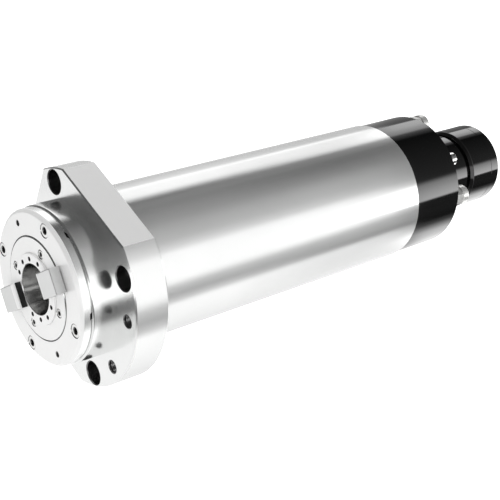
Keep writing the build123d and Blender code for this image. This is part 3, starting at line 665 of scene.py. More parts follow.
@dataclass(frozen=True)
class Finish:
    """How one kind of surface looks.

    Attributes:
        name: Name of the material.
        slot: Slot of the record that it fills.
        colour: Base colour.
        shade: The darker colour that it drifts towards in handled patches.
        metallic: 1 for metal, 0 otherwise.
        roughness: Middle roughness.
        smear: How much the roughness drifts in handled patches.
        line_swing: How much the roughness changes from one turned line to the next.
        line_depth: Strength of the bump of the turned lines.
        lines: Turned lines in each metre.
        grain_depth: Strength of the bump of the grain.
        grain_size: Grains in each metre.
        coat: Weight of a clear coat.
        coat_roughness: Roughness of the clear coat.
        specular: Strength of the reflection of a surface that isn't metal.
        haze: Share of the light that fine scratches spread widely.
        haze_roughness: Roughness of that wide spread.
    """

    name: str
    slot: Slot
    colour: Colour
    shade: Colour
    metallic: float = 1.0
    roughness: float = 0.1
    smear: float = 0.03
    line_swing: float = 0.03
    line_depth: float = 0.02
    lines: float = 2500.0
    grain_depth: float = 0.0
    grain_size: float = 1800.0
    coat: float = 0.0
    coat_roughness: float = 0.05
    specular: float = 0.5
    haze: float = 0.0
    haze_roughness: float = 0.7

    def material(self) -> bpy.types.Material:
        """The material of this finish, made the first time that it is asked for."""
        made = bpy.data.materials.get(self.name)
        if made:
            return made
        made = bpy.data.materials.new(self.name)
        made.use_nodes = True
        made.node_tree.nodes.clear()
        graph = Graph(made.node_tree)
        turning = self._effect(graph, EFFECTS.turning, {"Lines": self.lines})
        handling = self._effect(graph, EFFECTS.handling, {})
        grain = self._effect(graph, EFFECTS.grain, {"Size": self.grain_size})
        colour = graph.add("ShaderNodeMix", {
            "Factor": handling, FIRST_COLOUR: (*self.colour, 1), SECOND_COLOUR: (*self.shade, 1)},
            data_type="RGBA").outputs[MIXED_COLOUR]
        smoothest = self.roughness - self.line_swing / 2
        lines = graph.sum("MULTIPLY_ADD", turning, self.line_swing, smoothest)
        rough = graph.sum("MULTIPLY_ADD", handling, self.smear, lines)
        relief = graph.sum("ADD", graph.sum("MULTIPLY", turning, self.line_depth),
                           graph.sum("MULTIPLY", grain, self.grain_depth))
        bump = graph.add("ShaderNodeBump", {
            "Height": relief, "Strength": 1.0, "Distance": BUMP_HEIGHT}).outputs["Normal"]
        surface = graph.add("ShaderNodeBsdfPrincipled", {
            "Base Color": colour, "Metallic": self.metallic, "Roughness": rough, "Normal": bump,
            "Coat Weight": self.coat, "Coat Roughness": self.coat_roughness,
            "Specular IOR Level": self.specular}).outputs[0]
        if self.haze:
            veil = graph.add("ShaderNodeBsdfPrincipled", {
                "Base Color": colour, "Metallic": self.metallic,
                "Roughness": self.haze_roughness, "Normal": bump}).outputs[0]
            surface = graph.mixed(self.haze, surface, veil)
        graph.add("ShaderNodeOutputMaterial", {"Surface": surface})
        return made

    @staticmethod
    def _effect(graph: Graph, group: bpy.types.NodeTree, values: dict[str, float]) -> Socket:
        """Place a shared effect with this finish's own values and give its output."""
        node = graph.add("ShaderNodeGroup", node_tree=group)
        for label, value in values.items():
            node.inputs[label].default_value = value
        return node.outputs["Value"]

    def on_node(self, name: str) -> None:
        """Give this finish to a CAD node."""
        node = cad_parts[name]
        for place in node.material_slots:
            place.material = self.material()
        if not node.material_slots:
            node.data.materials.append(self.material())


MIRROR = Finish("mirror turned steel", Slot.POLISHED, (0.86, 0.865, 0.86), (0.82, 0.825, 0.82),
                roughness=0.18, smear=0.02, line_swing=0.01, line_depth=0.001, haze=0.04)
SATIN = Finish("satin ground steel", Slot.GROUND, (0.80, 0.805, 0.80), (0.76, 0.765, 0.76),
               roughness=0.12, smear=0.03, line_swing=0.04, line_depth=0.01, lines=4000.0, haze=0.3)
NOSE = Finish("hardened nose steel", Slot.HARDENED, (0.80, 0.80, 0.795), (0.74, 0.74, 0.735),
              roughness=0.13, smear=0.04, line_swing=0.05, line_depth=0.01, haze=0.06)
SOCKET = Finish("ground socket steel", Slot.HARDENED, (0.70, 0.70, 0.695), (0.64, 0.64, 0.635),
                roughness=0.12, smear=0.04, line_swing=0.05, line_depth=0.01)
# Front faces and chamfers: a faced finish, partly real, whose near-white mostly matte colour is a
# painted reflection of bright surroundings.
FACED_PAINTED_REFLECTION = Finish("faced steel with painted reflection", Slot.POLISHED, (0.96, 0.96, 0.955), (0.94, 0.94, 0.935),
               metallic=0.35, roughness=0.42, smear=0.03, line_swing=0.0, line_depth=0.0)
KEY = Finish("ground key steel", Slot.KEY, (0.70, 0.705, 0.70), (0.64, 0.645, 0.64),
             roughness=0.28, smear=0.06, line_swing=0.01, line_depth=0.0, grain_depth=0.004)
# The keys' inner end faces, which look into the socket, are painted near black as painted shade.
KEY_END_SHADE = Finish("key end with painted shade", Slot.KEY, (0.03, 0.03, 0.031), (0.05, 0.05, 0.05),
                 metallic=0.6, roughness=0.35, smear=0.06, line_swing=0.02, line_depth=0.0,
                 grain_depth=0.05)
RACE = Finish("ground bearing steel", Slot.BEARING, (0.78, 0.78, 0.77), (0.70, 0.70, 0.69),
              roughness=0.12, line_swing=0.06, line_depth=0.01)
BRIGHT_SCREW = Finish("bright screw steel", Slot.SCREW, (0.80, 0.80, 0.79), (0.68, 0.68, 0.67),
                      roughness=0.16, smear=0.08, line_swing=0.04, grain_depth=0.03)
BLACK = Finish("black anodised aluminium", Slot.BLACK, (0.0012, 0.0013, 0.0013),
               (0.002, 0.0022, 0.0022), metallic=0.0, roughness=0.06, smear=0.03,
               line_swing=0.02, line_depth=0.002, specular=0.66)
# Walls of holes, sockets and bores: a rougher drilled finish whose dark colour is painted shade for
# the inside of recesses.
SHADED_BORE = Finish("drilled steel with painted shade", Slot.GROUND, (0.28, 0.28, 0.28), (0.16, 0.16, 0.16),
              roughness=0.28, line_swing=0.1, line_depth=0.1, lines=1500.0)
MILLED = Finish("milled steel flat", Slot.GROUND, (0.90, 0.90, 0.895), (0.87, 0.87, 0.865),
                metallic=0.35, roughness=0.3, smear=0.02, line_swing=0.0, line_depth=0.0,
                grain_depth=0.01)
NICKEL = Finish("nickel plate", Slot.NICKEL, (0.69, 0.69, 0.675), (0.62, 0.62, 0.61),
                metallic=0.75, roughness=0.34, smear=0.06, line_swing=0.02, grain_depth=0.02)
JACKET = Finish("turned aluminium", Slot.JACKET, (0.76, 0.77, 0.78), (0.68, 0.69, 0.70),
                roughness=0.3, line_swing=0.1, line_depth=0.05, lines=1500.0)
CORE = Finish("stacked lamination steel", Slot.LAMINATION, (0.20, 0.19, 0.185), (0.12, 0.115, 0.11),
              roughness=0.45, line_swing=0.2, line_depth=0.3, lines=2000.0)
COPPER = Finish("varnished copper wire", Slot.COPPER, (0.60, 0.22, 0.07), (0.38, 0.12, 0.035),
                roughness=0.3, line_swing=0.1, line_depth=0.8, lines=700.0, coat=0.5,
                coat_roughness=0.15)
CAGE = Finish("cast rotor aluminium", Slot.ROTOR, (0.66, 0.67, 0.68), (0.52, 0.53, 0.54),
              roughness=0.42, smear=0.1, line_depth=0.0, grain_depth=0.4)
SPRING = Finish("blued spring steel", Slot.SPRING, (0.16, 0.17, 0.19), (0.08, 0.085, 0.10),
                roughness=0.26, smear=0.1, line_swing=0.05, grain_depth=0.05)
RUBBER = Finish("black seal rubber", Slot.RUBBER, (0.018, 0.018, 0.018), (0.03, 0.03, 0.03),
                metallic=0.0, roughness=0.6, smear=0.1, line_depth=0.0, grain_depth=0.3)
PLASTIC = Finish("moulded black plastic", Slot.PLASTIC, (0.02, 0.02, 0.021), (0.03, 0.03, 0.031),
                 metallic=0.0, roughness=0.42, smear=0.06, line_depth=0.0, grain_depth=0.35,
                 grain_size=2600.0)


# Sub-assemblies

# Screws of three thread sizes
M3 = CapScrew(shank=1.5, head=2.75, height=3.0, key=1.25, socket=1.5)
M5 = CapScrew(shank=2.5, head=4.25, height=5.0, key=2.0, socket=2.5)
M6 = CapScrew(shank=3.0, head=5.0, height=6.0, key=2.5, socket=3.0)

# Radians from which an edge is broken, and the cosine from which a face looks along an axis
SHARP = 0.5
SQUARE = 0.99


def screw_set(name: str, body: Body, screws: Iterable[Workpiece], node: str) -> None:
    """Finish a set of screws as one piece that stands for a CAD node."""
    Workpiece().added(screws).finished(name, body, [BRIGHT_SCREW, SHADED_BORE], [node])


@dataclass
class FlangeHousing:
    """Neck, mounting flange and rear spigot in one piece."""

    neck_front: float = -39.4
    neck_radius: float = 49.5
    neck_edge: float = 1.0
    neck_round: float = 0.35
    front: float = -23.0
    radius: float = 69.0
    level_flat: float = 60.0
    side_flat: float = 52.5
    edge: float = 0.8
    rim_inside: float = 51.0
    relief: float = 50.6
    recess: float = 1.0
    spigot: float = 44.0
    spigot_end: float = 26.0
    bore: float = 37.5
    shoulder: float = 6.0
    shoulder_bore: float = 33.5
    bolts: Pattern = Pattern(60.0, (-40.0, 45.0, 135.0, 220.0))
    bolt_hole: Hole = Hole(radius=4.5, depth=24.0, mouth=0.6, head_radius=7.5, head_depth=9.0)
    ports: Pattern = Pattern(60.0, (70.0, 110.0))
    port_hole: Hole = Hole(radius=4.0, depth=15.0, mouth=0.5, pitch=1.0)

    def profile(self) -> list[Point]:
        """The turned section, before the flats are milled."""
        return [
            (self.neck_front, self.bore),
            *front_edge(self.neck_front, self.neck_radius, self.neck_edge),
            (self.front, self.neck_radius), (self.front, self.radius), (0.0, self.radius),
            (0.0, self.relief), (-self.recess, self.relief), (-self.recess, self.spigot),
            (self.spigot_end, self.spigot), (self.spigot_end, self.shoulder_bore),
            (self.shoulder, self.shoulder_bore), (self.shoulder, self.bore),
        ]

    def on_outline(self, edge: Edge) -> bool:
        """Whether an edge lies on the flange's front or rear rim."""
        for station in (self.front, 0.0):
            if all(abs(v.co.x - station) < CLOSE and radius_at(v) > self.rim_inside
                   for v in edge.verts):
                return len(edge.link_faces) == 2 and edge.calc_face_angle(0.0) > SHARP
        return False

    def on_flat(self, face: Face) -> bool:
        """Whether a face is one of the milled flats."""
        middle = face.calc_center_median()
        level = abs(abs(middle.z) - self.level_flat) < NEAR and abs(face.normal.z) > SQUARE
        return level or abs(middle.y - self.side_flat) < NEAR and face.normal.y > SQUARE

    def on_rim(self, face: Face) -> bool:
        """Whether a face is part of the flange's turned rim."""
        return all(abs(radius_at(v) - self.radius) < NEAR for v in face.verts)

    def build(self) -> None:
        """Turn, mill and drill the housing."""
        piece = Workpiece.turned(self.profile(), HOUSING_STEPS)
        piece.sliced(self.level_flat, Vector((0, 0, 1)))
        piece.sliced(self.level_flat, Vector((0, 0, -1)))
        piece.sliced(self.side_flat, Vector((0, 1, 0)))
        piece.bevelled(self.edge, 1, self.on_outline)
        piece.painted(2, self.on_flat).painted(3, self.on_rim)
        piece.rounded_rims(self.neck_round,
                           front_edge(self.neck_front, self.neck_radius, self.neck_edge))
        piece.cut_by(self.bolt_hole.tools(self.front, self.bolts)
                     + self.port_hole.tools(self.front, self.ports))
        piece.finished("flange_and_neck", Body.HOUSING, [MIRROR, SHADED_BORE, MILLED, SATIN],
                       ["flange_housing"])


@dataclass
class FrontCap:
    """Bolted cap round the labyrinth ring, with its screws."""

    front: float = -46.7
    back: float = -39.4
    radius: float = 48.75
    edge: float = 1.8
    edge_round: float = 0.5
    mouth_round: float = 0.15
    round_behind: float = 0.3
    round_within: float = 0.7
    bore: float = 32.8
    seam_width: float = 0.7
    seam_depth: float = 0.95
    spigot: float = 37.45
    spigot_end: float = -34.0
    lip_bore: float = 31.5
    groove_radius: float = 35.5
    groove_front: float = -44.0
    groove_end: float = -40.4
    screws_at: Pattern = Pattern(42.6, (-9.3, 80.7, 170.7, 260.7))
    screw: CapScrew = M5
    grip: float = 9.0
    seat: Hole = Hole(radius=2.75, depth=9.0, mouth=0.2, head_radius=4.41, head_depth=5.3)
    jacks: Pattern = Pattern(40.9, (-53.5, 126.5))
    jack_hole: Hole = Hole(radius=1.65, depth=9.0, mouth=0.35, pitch=0.7, steps=JACK_STEPS)
    drains: int = 6
    drain_first: float = 6.4
    drain_width: float = 4.3
    drain_length: float = 1.5
    drain_span: Point = (34.5, 50.0)

    def profile(self) -> list[Point]:
        """Section of the cap: face, rim, seam groove, spigot and labyrinth."""
        seam, floor = self.back - self.seam_width, self.radius - self.seam_depth
        return [
            (self.front, self.bore), *front_edge(self.front, self.radius, self.edge),
            (seam, self.radius), (seam, floor), (self.back, floor), (self.back, self.spigot),
            (self.spigot_end, self.spigot), (self.spigot_end, self.lip_bore),
            (self.groove_end, self.lip_bore), (self.groove_end, self.groove_radius),
            (self.groove_front, self.groove_radius), (self.groove_front, self.bore),
        ]

    def on_edge(self, face: Face) -> bool:
        """Whether a face is part of the cap's broken front edge."""
        behind = self.front + self.edge + self.round_behind
        within = self.radius - self.edge - self.round_within
        return all(v.co.x < behind and radius_at(v) > within for v in face.verts)

    def drain_tools(self) -> list[Workpiece]:
        """The blocks that cut the drain notches through the cap's spigot."""
        half = self.drain_width / 2
        inner, outer = self.drain_span
        low = (self.back - self.drain_length, -half, inner)
        high = (self.back + OVERRUN, half, outer)
        return [Workpiece.block(low, high).placed(0.0, angle)
                for angle in angles_round(self.drain_first, self.drains)]

    def build(self) -> None:
        """Turn and drill the cap, and put its screws in."""
        piece = Workpiece.turned(self.profile(), HOUSING_STEPS)
        piece.rounded_rims(self.edge_round, front_edge(self.front, self.radius, self.edge), 4)
        piece.rounded_rims(self.mouth_round, [(self.front, self.bore),
                                              (self.back - self.seam_width, self.radius)], 2)
        piece.cut_by(self.seat.tools(self.front, self.screws_at), 0)
        piece.cut_by(self.jack_hole.tools(self.front, self.jacks) + self.drain_tools())
        # The broken front edge and the whole front face take the near-white finish, a painted
        # reflection.
        piece.painted(2, self.on_edge)
        piece.painted(2, lambda face: faces_front(face, self.front))
        piece.finished("front_cap_turned", Body.HOUSING, [MIRROR, SHADED_BORE, FACED_PAINTED_REFLECTION], ["front_cap"])
        screws = self.screw.row(self.front + self.seat.head_depth, self.grip, self.screws_at)
        screw_set("cap_socket_screws", Body.HOUSING, screws, "cap_screws")


@dataclass
class ShaftNose:
    """Spindle shaft with its socket, labyrinth ring, ring screws and drive keys."""

    front: float = -48.4
    radius: float = 22.4
    edge: float = 0.4
    outside: tuple[Point, ...] = ((-34.0, 31.0), (-34.0, 22.5), (18.0, 22.5), (18.0, 19.0),
                                  (186.0, 19.0), (186.0, 17.5), (256.0, 17.5))
    bore: tuple[Point, ...] = ((256.0, 10.7), (44.0, 10.7), (44.0, 9.6), (22.0, 9.6),
                               (14.0, 12.4), (2.0, 12.4))
    gauge: float = 15.875
    mouth: float = 0.3
    taper: float = 7.0 / 48.0
    socket_depth: float = 48.0
    socket_end: float = -0.4
    lip_reach: float = 0.42
    ring_front: float = -47.1
    ring_back: float = -41.1
    ring_radius: float = 32.2
    ring_gap: float = 0.1
    collar: float = 31.0
    screw_circle: float = 25.5
    screw: CapScrew = M3
    grip: float = 9.0
    seat: Hole = Hole(radius=1.75, depth=7.0, mouth=0.15, head_radius=2.89, head_depth=3.2,
                      steps=SCREW_STEPS)
    air_circle: float = 18.8
    air_offsets: tuple[float, ...] = (45.0, 75.0, 105.0, 135.0, 225.0, 255.0, 285.0, 315.0)
    air_hole: Hole = Hole(radius=1.3, depth=5.0, mouth=0.2, steps=JACK_STEPS)
    key_angle: float = 34.9
    key_width: float = 15.9
    key_seat: float = 16.45
    key_outline: tuple[Point, ...] = ((-53.0, 16.5), (-54.0, 19.1), (-54.0, 36.0), (-47.5, 36.0),
                                      (-47.5, 31.5), (-44.4, 31.5), (-44.4, 16.5))
    key_edge: float = 0.8
    key_lead: float = -52.0
    key_foot: float = 17.0
    slot_depth: float = 4.0
    shaft_slot: float = 31.2
    ring_slot: float = 40.0

    def shaft_profile(self) -> list[Point]:
        """Section of the shaft from its nose to its tail."""
        small = self.gauge - self.taper * self.socket_depth
        return [
            (self.front, self.gauge + self.mouth),
            *front_edge(self.front, self.radius, self.edge), (self.ring_back, self.radius),
            (self.ring_back, self.collar), *self.outside, *self.bore,
            (self.bore[-1][0], small), (self.socket_end, small),
            (self.front + self.mouth, self.gauge),
        ]

    def ring_profile(self) -> list[Point]:
        """Section of the labyrinth ring."""
        inner = self.radius + self.ring_gap
        return [(self.ring_front, inner),
                *front_edge(self.ring_front, self.ring_radius, self.edge),
                (self.ring_back, self.ring_radius), (self.ring_back, inner)]

    def key_angles(self) -> list[float]:
        """Places of the two keys and their slots."""
        return angles_round(self.key_angle, 2)

    def slots(self, outer: float) -> list[Workpiece]:
        """The two slots in the nose that take the keys, each from just outside the socket."""
        half = self.key_width / 2
        low = (self.front - 2 * OVERRUN, -half, self.key_seat)
        high = (self.front + self.slot_depth, half, outer)
        return [Workpiece.block(low, high).placed(0.0, a) for a in self.key_angles()]

    def in_socket(self, face: Face) -> bool:
        """Whether a face lies inside the tool socket or the bore behind it."""
        return all(radius_at(v) < self.gauge + NEAR for v in face.verts)

    def on_lip(self, face: Face) -> bool:
        """Whether a face is part of the raised lip that stands out of the ring."""
        return all(v.co.x < self.ring_back + NEAR and
                   abs(radius_at(v) - self.radius) < self.lip_reach for v in face.verts)

    def key(self, angle: float) -> Workpiece:
        """One drive key: a block with a sloped lead and broken edges.

        Args:
            angle: Its place round the axis.

        Returns:
            The key.
        """
        half = self.key_width / 2
        key = Workpiece()
        side = key.mesh.faces.new([key.mesh.verts.new((x, -half, z))
                                   for x, z in self.key_outline])
        swept = bmesh.ops.extrude_face_region(key.mesh, geom=[side])
        far_side = [part for part in swept["geom"] if isinstance(part, Vertex)]
        bmesh.ops.translate(key.mesh, vec=(0, self.key_width, 0), verts=far_side)
        key.clean()
        key.bevelled(self.key_edge, 3,
                     lambda edge: max(v.co.x for v in edge.verts) < self.key_lead)
        # The sloped lead's faces take the near-white finish, a painted reflection.
        key.painted(2, lambda face: face.normal.x < -0.1 and face.normal.z < -0.1)
        # The inner end that looks into the socket takes the near-black finish, a painted shade.
        key.painted(1, lambda face: face.normal.z < -0.98 and
                    face.calc_center_median().z < self.key_foot)
        return key.placed(0.0, angle)

    def build(self) -> None:
        """Make the shaft, the ring, its screws and the keys."""
        shaft = Workpiece.turned(self.shaft_profile(), HOUSING_STEPS)
        air = Pattern(self.air_circle, tuple(self.key_angle + o for o in self.air_offsets))
        shaft.painted(3, self.in_socket)
        shaft.cut_by(self.air_hole.tools(self.front, air)).cut_by(self.slots(self.shaft_slot), 2)
        # The nose's front face and its lip take the near-white finish, a painted reflection.
        shaft.painted(2, lambda face: faces_front(face, self.front) or self.on_lip(face))
        shaft.finished("shaft_and_nose", Body.SHAFT, [NOSE, SHADED_BORE, FACED_PAINTED_REFLECTION, SOCKET],
                       ["spindle_shaft"])
        ring = Workpiece.turned(self.ring_profile(), HOUSING_STEPS)
        places = Pattern(self.screw_circle, tuple(angles_round(self.key_angle + 45.0, 4)))
        ring.cut_by(self.seat.tools(self.ring_front, places), 0)
        ring.cut_by(self.slots(self.ring_slot), 2)
        # The ring's front face takes the near-white finish, a painted reflection.
        ring.painted(3, lambda face: faces_front(face, self.ring_front))
        ring.finished("labyrinth_ring_turned", Body.SHAFT, [MIRROR, SHADED_BORE, MIRROR, FACED_PAINTED_REFLECTION],
                      ["labyrinth_ring"])
        screws = self.screw.row(self.ring_front + self.seat.head_depth, self.grip, places)
        screw_set("ring_socket_screws", Body.SHAFT, screws, "ring_screws")
        keys = Workpiece().added([self.key(angle) for angle in self.key_angles()])
        keys.finished("drive_key_blocks", Body.SHAFT, [KEY, KEY_END_SHADE, FACED_PAINTED_REFLECTION], ["drive_keys"], 20.0)


@dataclass
class MotorSection:
    """Motor sleeve and the rear drum with its screws, fittings and connectors."""

    sleeve_front: float = -1.0
    sleeve_end: float = 235.0
    sleeve_radius: float = 50.0
    sleeve_bore: float = 44.0
    front_chamfer: float = 1.0
    rear_chamfer: float = 0.5
    web_front: float = 190.0
    web_end: float = 194.0
    web_bore: float = 29.0
    tail_bore: float = 36.5
    drum_front: float = 229.0
    drum_end: float = 279.3
    drum_radius: float = 49.3
    drum_chamfer: float = 0.6
    drum_spigot: float = 36.4
    drum_bore: float = 27.1
    drum_hollow: float = 37.0
    drum_mouth: float = 18.0
    front_wall: float = 4.0
    rear_wall: float = 8.0
    screws_at: Pattern = Pattern(43.0, (29.0, 119.0, 209.0, 299.0), Entry.REAR)
    screw: CapScrew = M6
    screw_hold: float = 13.7
    screw_hole: Hole = Hole(radius=3.25, depth=50.0, mouth=0.4, steps=SCREW_STEPS)
    fittings: Pattern = Pattern(42.5, (67.0, -27.7), Entry.REAR)
    fitting_hole: Hole = Hole(radius=4.8, depth=7.0, mouth=0.4, steps=SCREW_STEPS)
    foot_height: float = 6.3
    foot_flat: float = 6.2
    foot_edge: float = 0.35
    foot_bore: tuple[Point, ...] = ((-1.0, 0.0), (-1.0, 3.3), (8.0, 3.3), (8.0, 0.0))
    fitting_head: tuple[Point, ...] = (
        (-7.0, 3.2), (-7.0, 4.75), (0.0, 4.75), (0.0, 3.4), (6.0, 3.4), (6.0, 6.4), (6.5, 7.2),
        (11.4, 7.2), (12.3, 6.7), (12.8, 5.8), (12.8, 3.2))
    connector_circle: float = 41.1
    connector_height: float = 16.0
    shell_foot: tuple[Point, ...] = ((0.0, 1.0), (0.2, 1.2), (1.4, 1.2), (1.6, 0.0), (4.0, 0.0),
                                     (4.4, -0.5), (5.2, -0.5), (5.6, 0.0))
    shell_rim: tuple[Point, ...] = ((-0.4, 0.0), (0.0, -0.4), (0.0, -1.0), (-0.2, -1.2),
                                    (-7.0, -1.2))
    pin: tuple[Point, ...] = ((-7.2, 0.0), (-7.2, 0.8), (-2.4, 0.8), (-2.0, 0.4), (-2.0, 0.0))

    def sleeve(self) -> None:
        """Turn the sleeve."""
        piece = Workpiece.turned([
            (self.sleeve_front, self.sleeve_bore),
            *front_edge(self.sleeve_front, self.sleeve_radius, self.front_chamfer),
            *rear_edge(self.sleeve_end, self.sleeve_radius, self.rear_chamfer),
            (self.sleeve_end, self.tail_bore), (self.web_end, self.tail_bore),
            (self.web_end, self.web_bore), (self.web_front, self.web_bore),
            (self.web_front, self.sleeve_bore),
        ], HOUSING_STEPS)
        piece.finished("motor_sleeve_ground", Body.HOUSING, [SATIN], ["motor_sleeve"])

    def drum(self) -> None:
        """Turn and drill the drum, and put its screws in."""
        front, end = self.sleeve_end, self.drum_end
        piece = Workpiece.turned([
            (self.drum_front, self.drum_bore), (self.drum_front, self.drum_spigot),
            (front, self.drum_spigot), (front, self.drum_radius),
            *rear_edge(end, self.drum_radius, self.drum_chamfer),
            (end, self.drum_mouth), (end - self.rear_wall, self.drum_mouth),
            (end - self.rear_wall, self.drum_hollow), (front + self.front_wall, self.drum_hollow),
            (front + self.front_wall, self.drum_bore),
        ], HOUSING_STEPS)
        piece.cut_by(self.screw_hole.tools(end, self.screws_at)
                     + self.fitting_hole.tools(end, self.fittings))
        piece.finished("rear_drum_turned", Body.HOUSING, [BLACK, SHADED_BORE], ["rear_drum"])
        screws = self.screw.row(end, end - front + self.screw_hold, self.screws_at)
        screw_set("drum_socket_screws", Body.HOUSING, screws, "drum_screws")

    def fitting(self, angle: float) -> Workpiece:
        """One push-in hose fitting: hexagon foot, waist, round head and release collar.

        Args:
            angle: Its place round the axis.

        Returns:
            The fitting.
        """
        end = self.drum_end
        foot = Workpiece.bar(end, end + self.foot_height, self.foot_flat)
        foot.bevelled(self.foot_edge, 2,
                      lambda edge: abs(edge.verts[0].co.x - edge.verts[1].co.x) < MERGE)
        foot.cut_by([Workpiece.turned(set_out(self.foot_bore, end), JACK_STEPS)])
        head = Workpiece.turned(set_out(self.fitting_head, end), HOLE_STEPS)
        return foot.added([head]).placed(self.fittings.circle, angle)

    def connector(self, angle: float, radius: float, pins: int) -> Workpiece:
        """One round plug-in connector with its pins.

        Args:
            angle: Its place round the axis.
            radius: Radius of its shell.
            pins: How many pins.

        Returns:
            The connector.
        """
        base, top = self.drum_end, self.drum_end + self.connector_height
        floor = top + self.shell_rim[-1][0]
        shell = Workpiece.turned([
            (base, 0.0), *((base + x, radius + r) for x, r in self.shell_foot),
            *((top + x, radius + r) for x, r in self.shell_rim), (floor, 0.0),
        ], SHELL_STEPS)
        rods = [Workpiece.turned(set_out(self.pin, top), PIN_STEPS).placed(radius / 2, place)
                for place in angles_round(0.0, pins)]
        return shell.added(rods).placed(self.connector_circle, angle)

    def build(self) -> None:
        """Make every piece of the section."""
        self.sleeve()
        self.drum()
        fittings = Workpiece().added([self.fitting(angle) for angle in self.fittings.angles])
        fittings.finished("hose_fittings_plated", Body.HOUSING, [NICKEL, SHADED_BORE],
                          ["hose_fittings"])
        power = self.connector(angle=158.0, radius=6.6, pins=4)
        power.finished("power_socket", Body.HOUSING, [PLASTIC], ["power_connector"])
        signal = self.connector(angle=250.0, radius=6.0, pins=3)
        signal.finished("signal_socket", Body.HOUSING, [PLASTIC], ["signal_connector"])


@dataclass
class ReleaseUnit:
    """Tool release cylinder with its cap and screws."""

    base: float = 279.3
    foot: float = 6.8
    foot_radius: float = 17.9
    rod_bore: float = 8.05
    boss_radius: float = 28.0
    boss_end: float = 315.0
    boss_edge: float = 0.3
    neck_radius: float = 26.4
    neck_length: float = 2.6
    radius: float = 30.6
    shoulder: float = 2.0
    shoulder_round: float = 0.4
    bore: float = 24.0
    bore_floor: float = 318.5
    end: float = 341.0
    cap_end: float = 350.0
    cap_spigot: float = 3.0
    cap_spigot_radius: float = 23.9
    cap_seam: float = 0.5
    edge: float = 0.8
    edge_round: float = 0.25
    bolts: Pattern = Pattern(26.6, (45.0, 135.0, 225.0, 315.0), Entry.REAR)
    screw: CapScrew = M3
    grip: float = 14.7
    seat: Hole = Hole(radius=1.75, depth=10.0, mouth=0.2, head_radius=2.93, head_depth=3.0,
                      steps=SCREW_STEPS)
    air_port: Hole = Hole(radius=4.0, depth=13.0, mouth=0.7, pitch=1.0)

    def cylinder(self) -> None:
        """Turn the cylinder."""
        front, boss = self.boss_end + self.neck_length, self.boss_end
        shoulder = front_edge(front, self.radius, self.shoulder)
        body = Workpiece.turned([
            (self.base - self.foot, self.rod_bore), (self.base - self.foot, self.foot_radius),
            (self.base, self.foot_radius), (self.base, self.boss_radius),
            *rear_edge(boss, self.boss_radius, self.boss_edge), (boss, self.neck_radius),
            (front, self.neck_radius), *shoulder, (self.end, self.radius), (self.end, self.bore),
            (self.bore_floor, self.bore), (self.bore_floor, self.rod_bore),
        ], CYLINDER_STEPS)
        body.rounded_rims(self.shoulder_round, shoulder)
        body.finished("release_cylinder_turned", Body.HOUSING, [BLACK, SHADED_BORE],
                      ["release_cylinder"])

    def cap(self) -> None:
        """Turn and drill the cap, and put its screws in."""
        rim = rear_edge(self.cap_end, self.radius, self.edge)
        cap = Workpiece.turned([
            (self.end - self.cap_spigot, 0.0),
            (self.end - self.cap_spigot, self.cap_spigot_radius),
            (self.end, self.cap_spigot_radius), *front_edge(self.end, self.radius, self.cap_seam),
            *rim, (self.cap_end, 0.0),
        ], CYLINDER_STEPS)
        cap.rounded_rims(self.edge_round, rim)
        middle = Pattern(0.0, (0.0,), Entry.REAR)
        cap.cut_by(self.seat.tools(self.cap_end, self.bolts)
                   + self.air_port.tools(self.cap_end, middle))
        cap.finished("cylinder_cap_turned", Body.HOUSING, [BLACK, SHADED_BORE], ["cylinder_cap"])
        screws = self.screw.row(self.cap_end - self.screw.height, self.grip, self.bolts)
        screw_set("cap_end_screws", Body.HOUSING, screws, "cylinder_cap_screws")

    def build(self) -> None:
        """Make the cylinder and its cap."""
        self.cylinder()
        self.cap()


@dataclass
class Springs:
    """Disc springs and return spring."""

    pack_start: float = 218.8
    discs: int = 12
    thickness: float = 1.45
    pitch: float = 2.1
    cone: float = 0.6
    rim_gap: float = 0.04
    disc_radius: float = 10.4
    disc_bore: float = 5.3
    coil_start: float = 318.5
    coil_end: float = 329.0
    coil_radius: float = 14.0
    wire: float = 0.9
    turns: float = 2.5
    stroke: float = 6.0

    def disc(self, station: float, entry: Entry) -> Workpiece:
        """One coned disc with its inner rim at a station, opening away from one end."""
        points = [(0.0, self.disc_bore), (self.cone, self.disc_radius),
                  (self.cone + self.thickness, self.disc_radius), (self.thickness, self.disc_bore)]
        return Workpiece.turned(set_out(points, station, entry), SHELL_STEPS)

    def shorten(self, piece: bpy.types.Object) -> None:
        """Give a spring its own copy of its mesh data."""
        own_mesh(piece)

    def build(self) -> None:
        """Make both springs."""
        discs = []
        for n in range(0, self.discs, 2):
            left = self.pack_start + n * self.pitch
            right = left + 2 * self.pitch - self.rim_gap
            discs += [self.disc(left, Entry.FRONT), self.disc(right, Entry.REAR)]
        pack = Workpiece().added(discs)
        pack = pack.finished("disc_spring_pack", Body.SHAFT, [SPRING], ["disc_springs"])
        self.shorten(pack)
        coil = Workpiece.coil(self.coil_start, self.coil_end, self.coil_radius, self.wire,
                              self.turns)
        spring = coil.finished("return_spring_wound", Body.HOUSING, [SPRING], ["return_spring"])
        self.shorten(spring)


